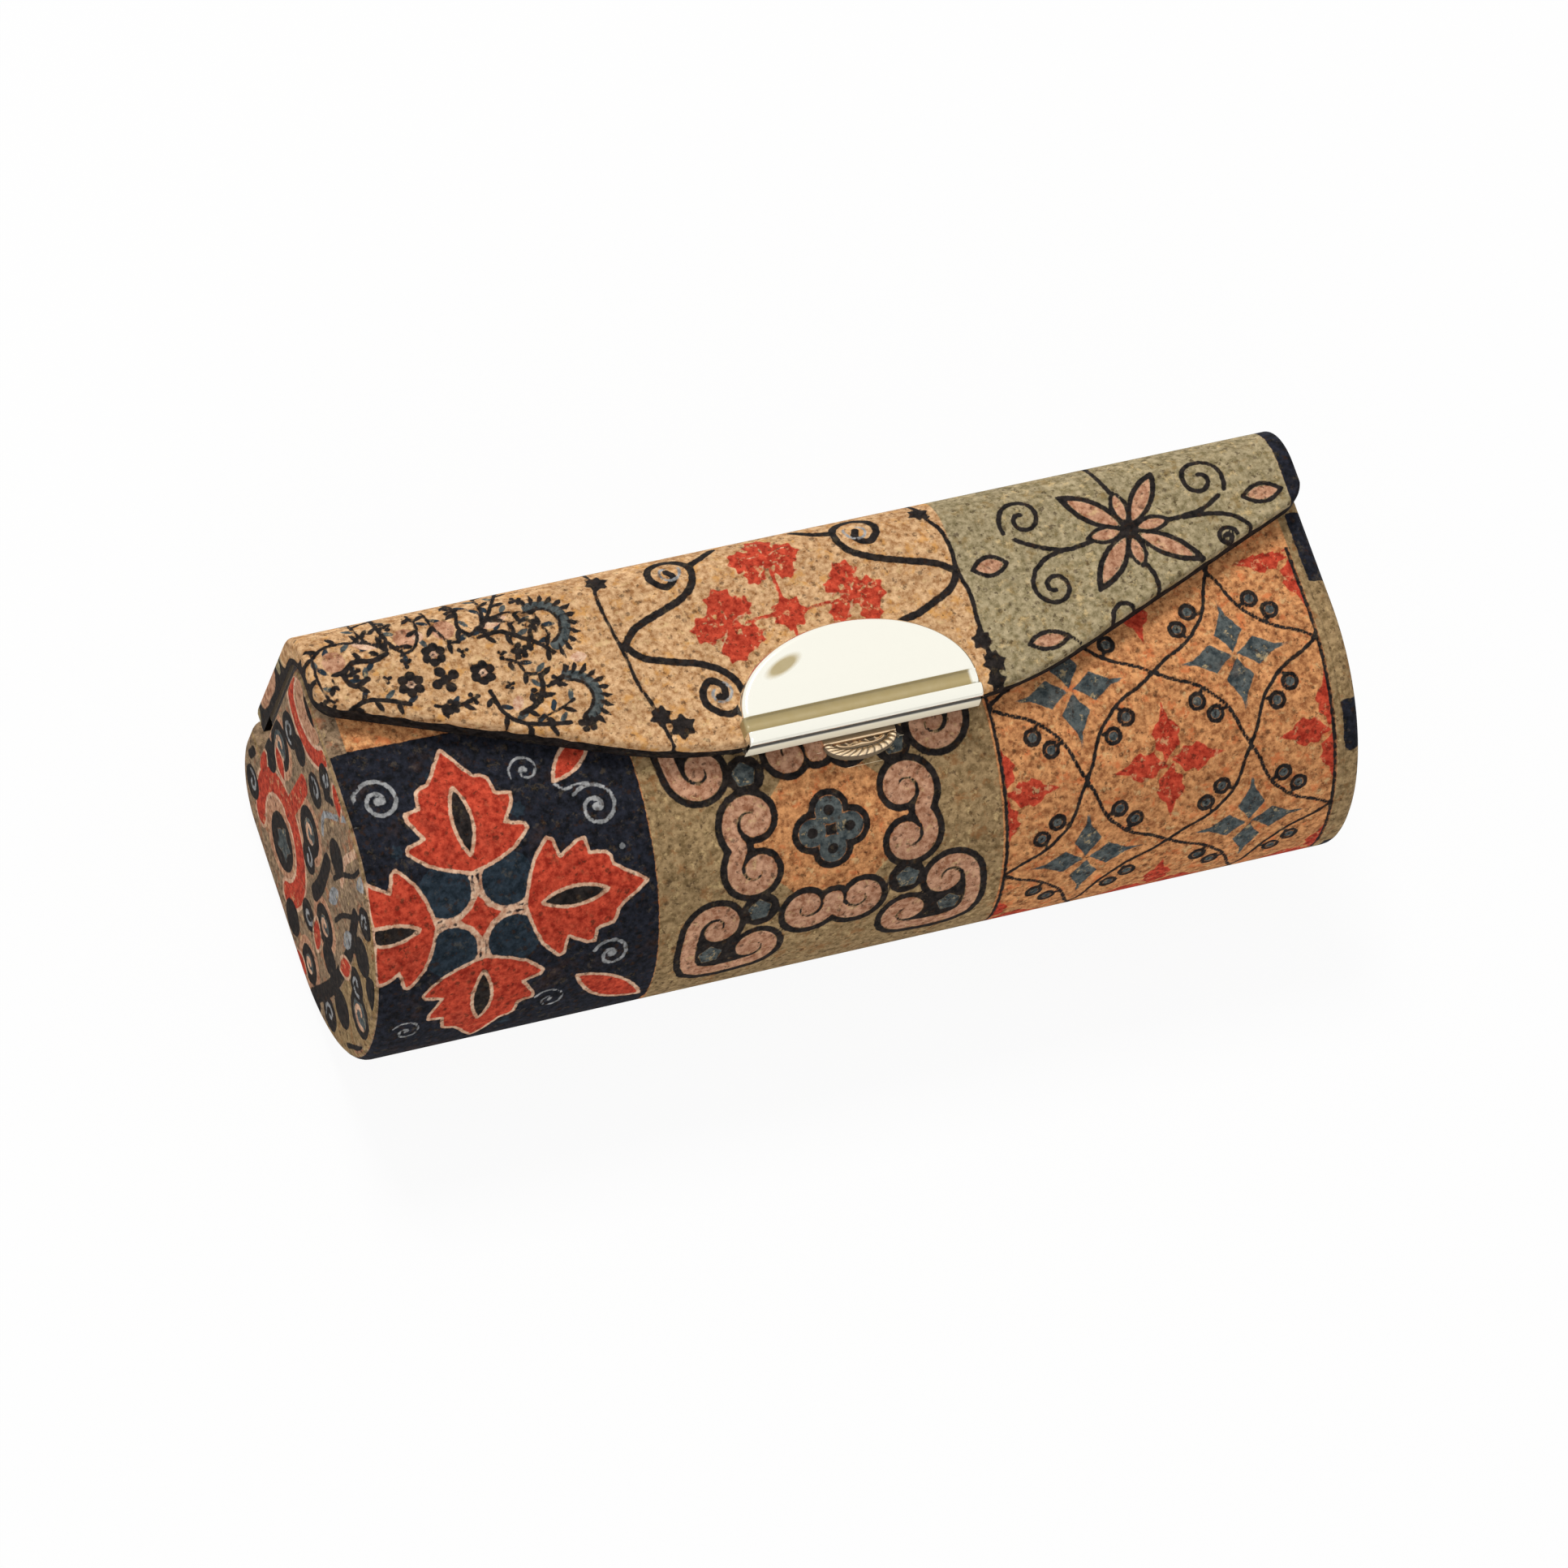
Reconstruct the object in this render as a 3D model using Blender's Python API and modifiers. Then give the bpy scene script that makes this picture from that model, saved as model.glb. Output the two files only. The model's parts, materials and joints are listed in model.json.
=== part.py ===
"""Lipstick box: a rigid case in printed cork, its hinged lid wrapped over the front, with a press catch.

Metres, +Z up, the front at -Y. The origin is the middle of the flat bottom.
"""

import bmesh
import bpy
from math import cos, pi, radians, sin, sqrt, tan
from mathutils import Matrix, Vector

# Outside of the case, seen from its end as (y, z)
HALF_LENGTH = 0.045
BACK = 0.0162
FRONT = -0.0162
BODY_TOP = 0.027
BOTTOM_CORNER = 0.006
BELLY_HEIGHT = 0.01144
BELLY_DEPTH = 0.01255
SHOULDER_DEPTH = 0.01519
LID_RISE = 0.0024
LID_CORNER = 0.0048
CORNER_STEPS = 6
BELLY_STEPS = 12
SHOULDER_STEPS = 14

# Layers of the wall, from the outside in
COVER = 0.0006
BOARD = 0.001
LINING = 0.0004
GLUE = 0.00012
BOARD_DEPTH = COVER + GLUE
LINING_DEPTH = BOARD_DEPTH + BOARD + GLUE
WALL = LINING_DEPTH + LINING

# Ends
END_PANEL = 0.0017
END_FOLD = 0.0011
END_FOLD_STEPS = 4
FOLD_ANGLE = radians(60)
LID_END_CLEARANCE = 0.0001
END_LINING_MARGIN = 0.0003
END_LINING_GAP = 0.0003

# Edge of the flap, seen from above as (x, y)
FLAP_FRONT = -0.0033
FLAP_FLAT = 0.009
FLAP_BLEND = 0.02
FLAP_SLOPE = 0.382
FLAP_BLEND_STEPS = 7
FLAP_CORNER = 0.0025
FLAP_CORNER_STEPS = 4
RIM_OVERLAP = 0.003

# Hinge
AXIS_INSET = 0.0011
AXIS_Z = 0.010
KNUCKLE_RADIUS = 0.00095
PIN_RADIUS = 0.0005
PIN_CLEARANCE = 0.00006
KNUCKLE_SIDES = 20
KNUCKLES = 9
KNUCKLE_GAP = 0.0003
HINGE_HALF = 0.041
HINGE_OPENING = 0.00155
LEAF = 0.0004
LEAF_GAP = 0.0002
LEAF_REACH = 0.0046
LEAF_RIVET_REACH = 0.0031
LEAF_RIVET_SPACING = 0.0273

# Rivets
RIVET_RADIUS = 0.0004
RIVET_HEAD = 0.0007
RIVET_HEAD_HEIGHT = 0.0003
RIVET_CLEARANCE = 0.0001
RIVET_SIDES = 16
SEAT = 0.00005

# Clasp on the lid
CAP_HALF = 0.0105
CAP_SIDE = -0.0016
CAP_DEPTH = 0.0069
CAP_EDGE = 0.001
CAP_EDGE_STEPS = 4
CAP_STEPS = 20
CAP_SHEET = 0.00043
CAP_GAP = 0.00012
CAP_ROOM = 0.0006
CAP_ROOF = 0.0009
LIP_DROP = 0.0021
CHANNEL_LAND = 0.001
CHANNEL_WIDTH = 0.0012
CHANNEL_DEPTH = 0.00045
SEAM_DROP = 0.0006
SEAM_HEIGHT = 0.0003
SEAM_DEPTH = 0.0002
STUD_X = 0.0065
STUD_Y = 0.0005
STUD_RADIUS = 0.0005
STUD_HEAD = 0.0009
PLATE_HALF = 0.009
PLATE_FRONT = -0.0022
PLATE_BACK = 0.0028
PLATE_MARGIN = 0.0003

# Catch on the front
BUTTON_Y = -0.0030
BUTTON_HALF = 0.0039
BUTTON_DEPTH = 0.00275
BUTTON_BACK = -0.0041
BUTTON_PROUD = 0.0009
BUTTON_STEPS = 16
BUTTON_RIM = 0.0007
BUTTON_FLOOR_DEPTH = 0.0004
BUTTON_CLEARANCE = 0.00015
WALL_HOLE_CLEARANCE = 0.0003
BEAD_RADIUS = 0.00042
BEADS = 10
ROPE_START = -39
BEAD_SINK = 0.00018
ESCUTCHEON_RIM = 0.0005
TAB_HALF = 0.0064
TAB_FRONT = -0.0030
TAB_BACK = -0.0016
CATCH_RIVET_X = 0.0055
CATCH_RIVET_Y = -0.0023
HEAD_SINK = 0.0003
FOOT_DROP = 0.002808
FOOT_HEIGHT = 0.0006
FOOT_HALF = 0.0036
FOOT_FRONT = -0.0066
FOOT_BACK = -0.0034

# Spring and its bracket
SPRING_Y = -0.0049
SPRING_RADIUS = 0.0011
SPRING_WIRE = 0.00012
SPRING_TURNS = 1.75
SPRING_POINTS = 10
SPRING_END_GAP = 0.00008
BRACKET = 0.00035
SPRING_ROOM = 0.0018
ARM_INNER = 0.0040
ARM_FRONT = -0.0060
ARM_BACK = -0.0026
PAD_HALF = 0.0066
PAD_FRONT = -0.0052
PAD_BACK = -0.0012

# Mirror in the lid
MIRROR_HALF = 0.0345
MIRROR_ABOVE_HINGE = 0.00425
MIRROR_BELOW_CORNER = 0.001
MIRROR_GLASS = 0.0006
FRAME_RIM = 0.0008
FRAME_BACK = 0.0003
FRAME_BEVEL = 0.00012

# Cuts
OVERRUN = 0.002
CUT_DEPTH = 0.007
CUT_REACH = 0.0051
WELD = 1e-6
TURN_WELD = 1e-5
FLAT_ANGLE = radians(0.5)
SMOOTH_ANGLE = radians(32)

MATERIALS = {
    "printed_cork": ((0.62, 0.36, 0.2), 0.62, 0.0),
    "stiff_board": ((0.52, 0.42, 0.3), 0.8, 0.0),
    "velvet": ((0.09, 0.045, 0.04), 0.9, 0.0),
    "pale_gold": ((0.93, 0.83, 0.6), 0.16, 1.0),
    "steel": ((0.62, 0.62, 0.64), 0.3, 1.0),
    "mirror_glass": ((0.9, 0.92, 0.93), 0.03, 1.0),
}


def clear_scene():
    for item in list(bpy.data.objects):
        bpy.data.objects.remove(item, do_unlink=True)


def new_collection(name, helper=False):
    collection = bpy.data.collections.new(name)
    bpy.context.scene.collection.children.link(collection)
    collection.hide_render = helper
    return collection


def new_material(name):
    colour, roughness, metallic = MATERIALS[name]
    material = bpy.data.materials.new(name)
    material.use_nodes = True
    shader = material.node_tree.nodes["Principled BSDF"]
    shader.inputs["Base Color"].default_value = (*colour, 1.0)
    shader.inputs["Roughness"].default_value = roughness
    shader.inputs["Metallic"].default_value = metallic
    return material


def inset(points, distance, closed=False):
    """The polyline moved to its right-hand side by distance, with mitred corners."""
    points = [Vector(point) for point in points]
    count = len(points)
    moved = []
    for index, point in enumerate(points):
        before = points[index - 1] if closed or index else None
        after = points[(index + 1) % count] if closed or index < count - 1 else None
        sides = []
        if before is not None:
            sides.append((point - before).normalized())
        if after is not None:
            sides.append((after - point).normalized())
        normals = [Vector((side.y, -side.x)) for side in sides]
        middle = sum(normals, Vector((0, 0))).normalized()
        moved.append(point + middle * (distance / middle.dot(normals[0])))
    return moved


def extended(points, start, end):
    """The polyline with its two ends moved outward along their own direction."""
    points = [Vector(point) for point in points]
    points[0] = points[0] + (points[0] - points[1]).normalized() * start
    points[-1] = points[-1] + (points[-1] - points[-2]).normalized() * end
    return points


def arc(centre, across, up, start, end, steps):
    """Points on an ellipse about centre, from one angle to another in degrees."""
    found = []
    for index in range(steps + 1):
        angle = radians(start + (end - start) * index / steps)
        found.append(Vector((centre[0] + across * cos(angle), centre[1] + up * sin(angle))))
    return found


def prism(name, outline, low, high, turned, collection):
    """A filled outline drawn out from low to high: upward, or along the case where turned."""
    curve = bpy.data.curves.new(name, "CURVE")
    curve.dimensions = "2D"
    curve.fill_mode = "BOTH"
    curve.extrude = (high - low) / 2
    spline = curve.splines.new("POLY")
    spline.points.add(len(outline) - 1)
    for target, point in zip(spline.points, outline):
        target.co = (point[0], point[1], 0, 1)
    spline.use_cyclic_u = True
    drawn = bpy.data.objects.new(name + "_outline", curve)
    bpy.context.scene.collection.objects.link(drawn)
    middle = (low + high) / 2
    if turned:
        drawn.matrix_world = Matrix.Translation((middle, 0, 0)) @ ALONG_CASE
    else:
        drawn.matrix_world = Matrix.Translation((0, 0, middle))
    bpy.context.view_layer.update()
    graph = bpy.context.evaluated_depsgraph_get()
    mesh = bpy.data.meshes.new_from_object(drawn.evaluated_get(graph))
    mesh.transform(drawn.matrix_world)
    bpy.data.objects.remove(drawn, do_unlink=True)
    tidy(mesh)
    return placed(name, mesh, collection)


def tidy(mesh):
    """Welds the caps to the sides and makes each flat cap one face."""
    work = bmesh.new()
    work.from_mesh(mesh)
    bmesh.ops.remove_doubles(work, verts=work.verts, dist=WELD)
    bmesh.ops.dissolve_limit(
        work, angle_limit=FLAT_ANGLE, verts=work.verts, edges=work.edges, delimit={"NORMAL"}
    )
    bmesh.ops.recalc_face_normals(work, faces=work.faces)
    work.to_mesh(mesh)
    work.free()


def placed(name, mesh, collection):
    mesh.name = name
    made = bpy.data.objects.new(name, mesh)
    collection.objects.link(made)
    return made


def box(name, low, high, collection):
    """A block between two corners."""
    mesh = bpy.data.meshes.new(name)
    work = bmesh.new()
    bmesh.ops.create_cube(work, size=1.0)
    low, high = Vector(low), Vector(high)
    size = high - low
    middle = (low + high) / 2
    bmesh.ops.scale(work, vec=size, verts=work.verts)
    bmesh.ops.translate(work, vec=middle, verts=work.verts)
    work.to_mesh(mesh)
    work.free()
    return placed(name, mesh, collection)


def turned_profile(name, profile, sides, matrix, collection):
    """A piece turned on a lathe from a profile of (radius, height), then moved by the matrix."""
    mesh = bpy.data.meshes.new(name)
    mesh.from_pydata([(radius, 0, height) for radius, height in profile], edges_of(profile), [])
    made = placed(name + "_turned", mesh, collection)
    screw = made.modifiers.new("turn", "SCREW")
    screw.axis = "Z"
    screw.steps = sides
    screw.render_steps = sides
    screw.use_merge_vertices = True
    screw.merge_threshold = TURN_WELD
    screw.use_smooth_shade = False
    bpy.context.view_layer.update()
    graph = bpy.context.evaluated_depsgraph_get()
    solid = bpy.data.meshes.new_from_object(made.evaluated_get(graph))
    bpy.data.objects.remove(made, do_unlink=True)
    solid.transform(matrix)
    tidy(solid)
    return placed(name, solid, collection)


def edges_of(profile):
    return [(index, index + 1) for index in range(len(profile) - 1)]


def cylinder(name, radius, low, high, sides, matrix, collection):
    profile = [(0, high), (radius, high), (radius, low), (0, low)]
    return turned_profile(name, profile, sides, matrix, collection)


def combine(target, other, operation):
    step = target.modifiers.new(other.name, "BOOLEAN")
    step.operation = operation
    step.solver = "EXACT"
    step.object = other
    other.hide_render = True
    other.display_type = "WIRE"


def cut(target, *cutters):
    for cutter in cutters:
        combine(target, cutter, "DIFFERENCE")


def join(target, *others):
    for other in others:
        combine(target, other, "UNION")


def keep(target, *others):
    for other in others:
        combine(target, other, "INTERSECT")


def bevel_sharp(target, width, steps, angle):
    step = target.modifiers.new("rounded", "BEVEL")
    step.width = width
    step.segments = steps
    step.limit_method = "ANGLE"
    step.angle_limit = angle
    step.use_clamp_overlap = False


def wall_outline(profile, outer, inner):
    """The closed outline of one layer of a wall, between two depths."""
    return inset(profile, outer) + list(reversed(inset(profile, inner)))


def lower_half():
    """From the top of the back lip, round the bottom and up the belly to the front."""
    centre = (BACK - BOTTOM_CORNER, BOTTOM_CORNER)
    corner = arc(centre, BOTTOM_CORNER, BOTTOM_CORNER, 0, -90, CORNER_STEPS)
    centre = (FRONT + BELLY_DEPTH, BELLY_HEIGHT)
    belly = arc(centre, BELLY_DEPTH, BELLY_HEIGHT, -90, -180, BELLY_STEPS)
    return [Vector((BACK, LIP_TOP)), *corner, *belly]


def shoulder():
    """From just above the front, over the shoulder to the start of the flat top."""
    centre = (FRONT + SHOULDER_DEPTH, BELLY_HEIGHT)
    return arc(centre, SHOULDER_DEPTH, BODY_TOP - BELLY_HEIGHT, 180, 90, SHOULDER_STEPS)[1:]


def panel_back():
    """The end panel's top corner and its back, which sit inside the lid."""
    radius = LID_CORNER - LID_RISE
    centre = (BACK - LID_CORNER, BODY_TOP - radius)
    return [*arc(centre, radius, radius, 90, 0, CORNER_STEPS), Vector((BACK - LID_RISE, LIP_TOP))]


def flap_edge():
    """The flap's edge seen from above, from its middle to the right-hand end."""
    control = FLAP_BLEND - (FLAP_BLEND - FLAP_FLAT) / 2
    rise = (FLAP_BLEND - control) * FLAP_SLOPE
    points = []
    for index in range(FLAP_BLEND_STEPS + 1):
        share = index / FLAP_BLEND_STEPS
        across = FLAP_FLAT + (FLAP_BLEND - FLAP_FLAT) * share
        points.append(Vector((across, FLAP_FRONT + rise * share**2)))
    return points


def mirrored(points):
    """The right-hand half drawn with its mirror image, from left to right."""
    return [Vector((-point.x, point.y)) for point in reversed(points)] + points


def lid_outline():
    """The lid seen from above, clockwise, with its two front corners rounded."""
    end = HALF_LENGTH - LID_END_CLEARANCE
    half = flap_edge()
    start = half[-1]
    meeting = Vector((end, start.y + (end - start.x) * FLAP_SLOPE))
    turn = pi / 2 - Vector((1, FLAP_SLOPE)).angle(Vector((1, 0)))
    reach = FLAP_CORNER * tan(turn / 2)
    centre = Vector((end - FLAP_CORNER, meeting.y + reach))
    first = 180 * (turn / pi)
    half += arc(centre, FLAP_CORNER, FLAP_CORNER, -first, 0, FLAP_CORNER_STEPS)
    half.append(Vector((end, BACK + OVERRUN)))
    return list(reversed(mirrored(half)))


def rim_outline():
    """What is cut away behind the body's front rim, seen from above, clockwise."""
    half = [Vector((point.x, point.y + RIM_OVERLAP)) for point in flap_edge()]
    far = HALF_LENGTH + OVERRUN
    half.append(Vector((far, half[-1].y + (far - half[-1].x) * FLAP_SLOPE)))
    half.append(Vector((far, BACK + far)))
    return list(reversed(mirrored(half)))


def button_outline(grown):
    """The half-round button seen from above, clockwise."""
    angle = 180 / pi * asin_of((BUTTON_BACK - BUTTON_Y) / BUTTON_DEPTH)
    curve = arc((0, BUTTON_Y), BUTTON_HALF, BUTTON_DEPTH, angle, -180 - angle, BUTTON_STEPS)
    return inset(curve, -grown, closed=True)


def dish_outline():
    """The sunk middle of the button, open toward the flap, seen from above, clockwise."""
    return arc((0, BUTTON_Y), BUTTON_HALF - BUTTON_RIM, BUTTON_DEPTH - BUTTON_RIM, 0, -180, BUTTON_STEPS)


def asin_of(value):
    return Vector((sqrt(1 - value**2), value)).angle_signed(Vector((1, 0)))


def escutcheon_outline(grown):
    """The catch plate seen from above, clockwise: a half-round rim and two ears under the flap."""
    half = BUTTON_HALF + ESCUTCHEON_RIM
    curve = arc((0, TAB_FRONT), half, BUTTON_DEPTH + ESCUTCHEON_RIM, 0, -180, BUTTON_STEPS)
    ears = [(-TAB_HALF, TAB_FRONT), (-TAB_HALF, TAB_BACK), (TAB_HALF, TAB_BACK), (TAB_HALF, TAB_FRONT)]
    return inset([*curve, *map(Vector, ears)], -grown, closed=True)


def cap_outline(shrunk):
    """The half-moon cap seen from above, clockwise."""
    curve = arc((0, CAP_SIDE), CAP_HALF, CAP_DEPTH, 180, 0, CAP_STEPS)
    front = [Vector((CAP_HALF, CAP_FRONT)), Vector((-CAP_HALF, CAP_FRONT))]
    return inset([*curve, *front], shrunk, closed=True)


def rectangle(low, high):
    """Clockwise corners between two opposite ones."""
    corners = ((low[0], low[1]), (low[0], high[1]), (high[0], high[1]), (high[0], low[1]))
    return [Vector(corner) for corner in corners]


def along_y(across, height):
    """Places a lathed piece with its axis along Y, its top toward the inside of the case."""
    return Matrix.Translation((across, 0, height)) @ Matrix.Rotation(pi / 2, 4, "X")


def slope_at(depth_y):
    """How far the shoulder leans at this y, as an angle."""
    share = (depth_y - FRONT - SHOULDER_DEPTH) / SHOULDER_DEPTH
    rise = BODY_TOP - BELLY_HEIGHT
    return Vector((1, -rise / SHOULDER_DEPTH * share / sqrt(1 - share**2))).angle(Vector((1, 0)))


def shoulder_height(depth_y):
    share = (depth_y - FRONT - SHOULDER_DEPTH) / SHOULDER_DEPTH
    return BELLY_HEIGHT + (BODY_TOP - BELLY_HEIGHT) * sqrt(1 - share**2)


ALONG_CASE = Matrix(((0, 0, 1, 0), (1, 0, 0, 0), (0, 1, 0, 0), (0, 0, 0, 1)))
AXIS_Y = BACK - AXIS_INSET
LID_TOP = BODY_TOP + LID_RISE
CAP_FRONT = FLAP_FRONT - CAP_GAP - CAP_SHEET
CAP_CEILING = LID_TOP + CAP_ROOM
CAP_TOP = CAP_CEILING + CAP_ROOF
LIP_BOTTOM = LID_TOP - LIP_DROP
CHANNEL_FRONT = CAP_FRONT + CHANNEL_LAND
CHANNEL_BACK = CHANNEL_FRONT + CHANNEL_WIDTH
CHANNEL_BOTTOM = CAP_TOP - CHANNEL_DEPTH
SEAM_HIGH = LID_TOP - SEAM_DROP
SEAM_LOW = SEAM_HIGH - SEAM_HEIGHT
FOOT_TOP = shoulder_height(FOOT_FRONT) - FOOT_DROP
FOOT_BOTTOM = FOOT_TOP - FOOT_HEIGHT
BRACKET_FLOOR = FOOT_BOTTOM - SPRING_ROOM
CUT_LOW = BODY_TOP - CUT_DEPTH
CUT_HIGH = CAP_TOP + CUT_REACH
LIP_TOP = AXIS_Z - HINGE_OPENING
LID_LOW = AXIS_Z + HINGE_OPENING
MIRROR_LOW = LID_LOW + MIRROR_ABOVE_HINGE
MIRROR_HIGH = LID_TOP - LID_CORNER - MIRROR_BELOW_CORNER
SIDE = HALF_LENGTH - END_PANEL
BODY_END = SIDE - LID_END_CLEARANCE
LID_END = HALF_LENGTH - LID_END_CLEARANCE
BODY_PROFILE = [*lower_half(), *shoulder(), Vector((BACK - LID_CORNER, BODY_TOP))]
PANEL_OUTLINE = [*lower_half(), *shoulder(), *panel_back()]
LID_PROFILE = inset([*shoulder()[SHOULDER_STEPS // 2 :], *panel_back()], -LID_RISE)
LID_PROFILE[-1].y = LID_LOW
LINING_FACE = BACK - WALL
LEAF_FRONT = LINING_FACE - LEAF_GAP - LEAF
BODY_RIVET_Z = AXIS_Z - LEAF_RIVET_REACH
LID_RIVET_Z = AXIS_Z + LEAF_RIVET_REACH


def body_layer(name, outer, inner, edge, collection):
    """One layer of the body's wall, its back lip and front rim trimmed by edge."""
    profile = extended(BODY_PROFILE, -edge, OVERRUN)
    layer = prism(name, wall_outline(profile, outer, inner), -BODY_END, BODY_END, True, collection)
    trim = inset(rim_outline(), -edge, closed=True)
    cut(layer, prism(name + "_rim_cut", trim, CUT_LOW, CUT_HIGH, False, CUTTERS))
    return layer


def lid_layer(name, outer, inner, edge, collection):
    """One layer of the lid's wall, trimmed by edge all round."""
    profile = extended(LID_PROFILE, 0, -edge)
    half = HALF_LENGTH + OVERRUN
    layer = prism(name, wall_outline(profile, outer, inner), -half, half, True, collection)
    trim = inset(lid_outline(), edge, closed=True)
    keep(layer, prism(name + "_plan", trim, 0, CUT_HIGH, False, CUTTERS))
    return layer


def catch_rivet_place(side):
    """A frame on the shoulder's surface at one catch rivet, its Z straight out of the wall."""
    spot = (side * CATCH_RIVET_X, CATCH_RIVET_Y, shoulder_height(CATCH_RIVET_Y))
    return Matrix.Translation(spot) @ Matrix.Rotation(slope_at(CATCH_RIVET_Y), 4, "X")


def build_body():
    cover = body_layer("body_cover", 0, WALL, 0, CASE)
    cavity = body_layer("body_cover_cavity", COVER, WALL + OVERRUN, COVER, CUTTERS)
    cut(cover, cavity)
    shell = body_layer("body_shell", BOARD_DEPTH, BOARD_DEPTH + BOARD, BOARD_DEPTH, CASE)
    lining = body_layer("body_lining", LINING_DEPTH, WALL, BOARD_DEPTH, CASE)
    cavity.data.transform(Matrix.Scale(1 + OVERRUN / BODY_END, 4, (1, 0, 0)))
    recess = prism("catch_recess", escutcheon_outline(GLUE), CUT_LOW, CUT_HIGH, False, CUTTERS)
    cut(cover, recess)
    hole = prism("button_hole", button_outline(WALL_HOLE_CLEARANCE), CUT_LOW, CUT_HIGH, False, CUTTERS)
    cut(shell, hole)
    cut(lining, hole)
    return shell, lining


def build_end(side, name):
    """Board, cover and lining of one end; side is -1 at the left and 1 at the right."""
    outer, inner = side * HALF_LENGTH, side * SIDE
    cover = prism("end_cover_" + name, PANEL_OUTLINE, min(outer, inner), max(outer, inner), True, CASE)
    fold_end(cover, outer)
    reach = [side * (SIDE - OVERRUN), side * (HALF_LENGTH - COVER)]
    hollow = inset(PANEL_OUTLINE, COVER, closed=True)
    cut(cover, prism(cover.name + "_hollow", hollow, min(reach), max(reach), True, CUTTERS))
    reach = [inner, side * (HALF_LENGTH - BOARD_DEPTH)]
    board = inset(PANEL_OUTLINE, BOARD_DEPTH, closed=True)
    prism("end_board_" + name, board, min(reach), max(reach), True, CASE)
    reach = [side * (SIDE - GLUE), side * (SIDE - GLUE - LINING)]
    sheet = inset(PANEL_OUTLINE, END_LINING_MARGIN, closed=True)
    lining = prism("end_lining_" + name, sheet, min(reach), max(reach), True, CASE)
    cut(lining, ROOM_FOR_WALL)


def fold_end(cover, outer):
    """Rounds the fold where the end's cork turns over the edge."""
    mesh = cover.data
    weights = mesh.attributes.new("bevel_weight_edge", "FLOAT", "EDGE")
    for edge in mesh.edges:
        ends = [mesh.vertices[index].co.x for index in edge.vertices]
        weights.data[edge.index].value = float(all(abs(end - outer) < WELD for end in ends))
    step = cover.modifiers.new("fold", "BEVEL")
    step.width = END_FOLD
    step.segments = END_FOLD_STEPS
    step.limit_method = "WEIGHT"
    step.use_clamp_overlap = False


def build_lid():
    cover = lid_layer("lid_cover", 0, WALL, 0, LID)
    cut(cover, lid_layer("lid_cover_cavity", COVER, WALL + OVERRUN, COVER, CUTTERS))
    shell = lid_layer("lid_shell", BOARD_DEPTH, BOARD_DEPTH + BOARD, BOARD_DEPTH, LID)
    lining = lid_layer("lid_lining", LINING_DEPTH, WALL, BOARD_DEPTH, LID)
    low = (-PLATE_HALF - PLATE_MARGIN, PLATE_FRONT - PLATE_MARGIN)
    high = (PLATE_HALF + PLATE_MARGIN, PLATE_BACK + PLATE_MARGIN)
    cut(lining, prism("plate_room", rectangle(low, high), CUT_LOW, CUT_HIGH, False, CUTTERS))
    return cover, shell, lining


def build_hinge(body_parts, lid_parts):
    pitch = (2 * HINGE_HALF + KNUCKLE_GAP) / KNUCKLES
    for name, toward, first, group, rivet_z, walls in (
        ("hinge_leaf_body", -1, 0, CASE, BODY_RIVET_Z, body_parts),
        ("hinge_leaf_lid", 1, 1, LID, LID_RIVET_Z, lid_parts),
    ):
        near = AXIS_Z + toward * (KNUCKLE_RADIUS - LEAF)
        far = AXIS_Z + toward * (LEAF_REACH + KNUCKLE_GAP / 2)
        low = (-HINGE_HALF, LEAF_FRONT, min(near, far))
        high = (HINGE_HALF, LEAF_FRONT + LEAF, max(near, far))
        leaf = box(name, low, high, group)
        for index in range(first, KNUCKLES, 2):
            start = -HINGE_HALF + index * pitch
            end = start + pitch - KNUCKLE_GAP
            label = f"{name}_{index}"
            web_edge = AXIS_Z + toward * KNUCKLE_RADIUS
            web_low = (start, LEAF_FRONT, min(near, web_edge))
            web_high = (end, AXIS_Y, max(near, web_edge))
            join(leaf, box(label + "_web", web_low, web_high, CUTTERS))
            place = Matrix.Translation((0, AXIS_Y, AXIS_Z)) @ ALONG_CASE
            barrel = cylinder(label + "_barrel", KNUCKLE_RADIUS, start, end, KNUCKLE_SIDES, place, CUTTERS)
            join(leaf, barrel)
        bore_radius = (PIN_RADIUS + PIN_CLEARANCE) / cos(pi / KNUCKLE_SIDES)
        reach = HINGE_HALF + OVERRUN
        bore = cylinder(name + "_bore", bore_radius, -reach, reach, KNUCKLE_SIDES, place, CUTTERS)
        cut(leaf, bore)
        for spot, side in (("left", -1), ("middle", 0), ("right", 1)):
            turn = along_y(side * LEAF_RIVET_SPACING, rivet_z)
            build_leaf_rivet(f"{name}_rivet_{spot}", turn, group, [leaf, *walls])
    cylinder("hinge_pin", PIN_RADIUS, -HINGE_HALF, HINGE_HALF, KNUCKLE_SIDES, place, CASE)


def build_leaf_rivet(name, turn, group, pierced):
    """A flat-headed rivet along Y: head on the leaf inside the case, tail in the board."""
    head_low = -LEAF_FRONT + SEAT
    head_high = head_low + RIVET_HEAD_HEIGHT
    tail = -(BACK - BOARD_DEPTH)
    profile = [
        (0, head_high),
        (RIVET_HEAD - RIVET_RADIUS / 2, head_high),
        (RIVET_HEAD, head_low + RIVET_HEAD_HEIGHT / 2),
        (RIVET_HEAD, head_low),
        (RIVET_RADIUS, head_low),
        (RIVET_RADIUS, tail),
        (0, tail),
    ]
    turned_profile(name, profile, RIVET_SIDES, turn, group)
    hole = cylinder(
        name + "_hole",
        RIVET_RADIUS + RIVET_CLEARANCE,
        tail - RIVET_HEAD_HEIGHT,
        head_high,
        RIVET_SIDES,
        turn,
        CUTTERS,
    )
    for piece in pierced:
        cut(piece, hole)


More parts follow.
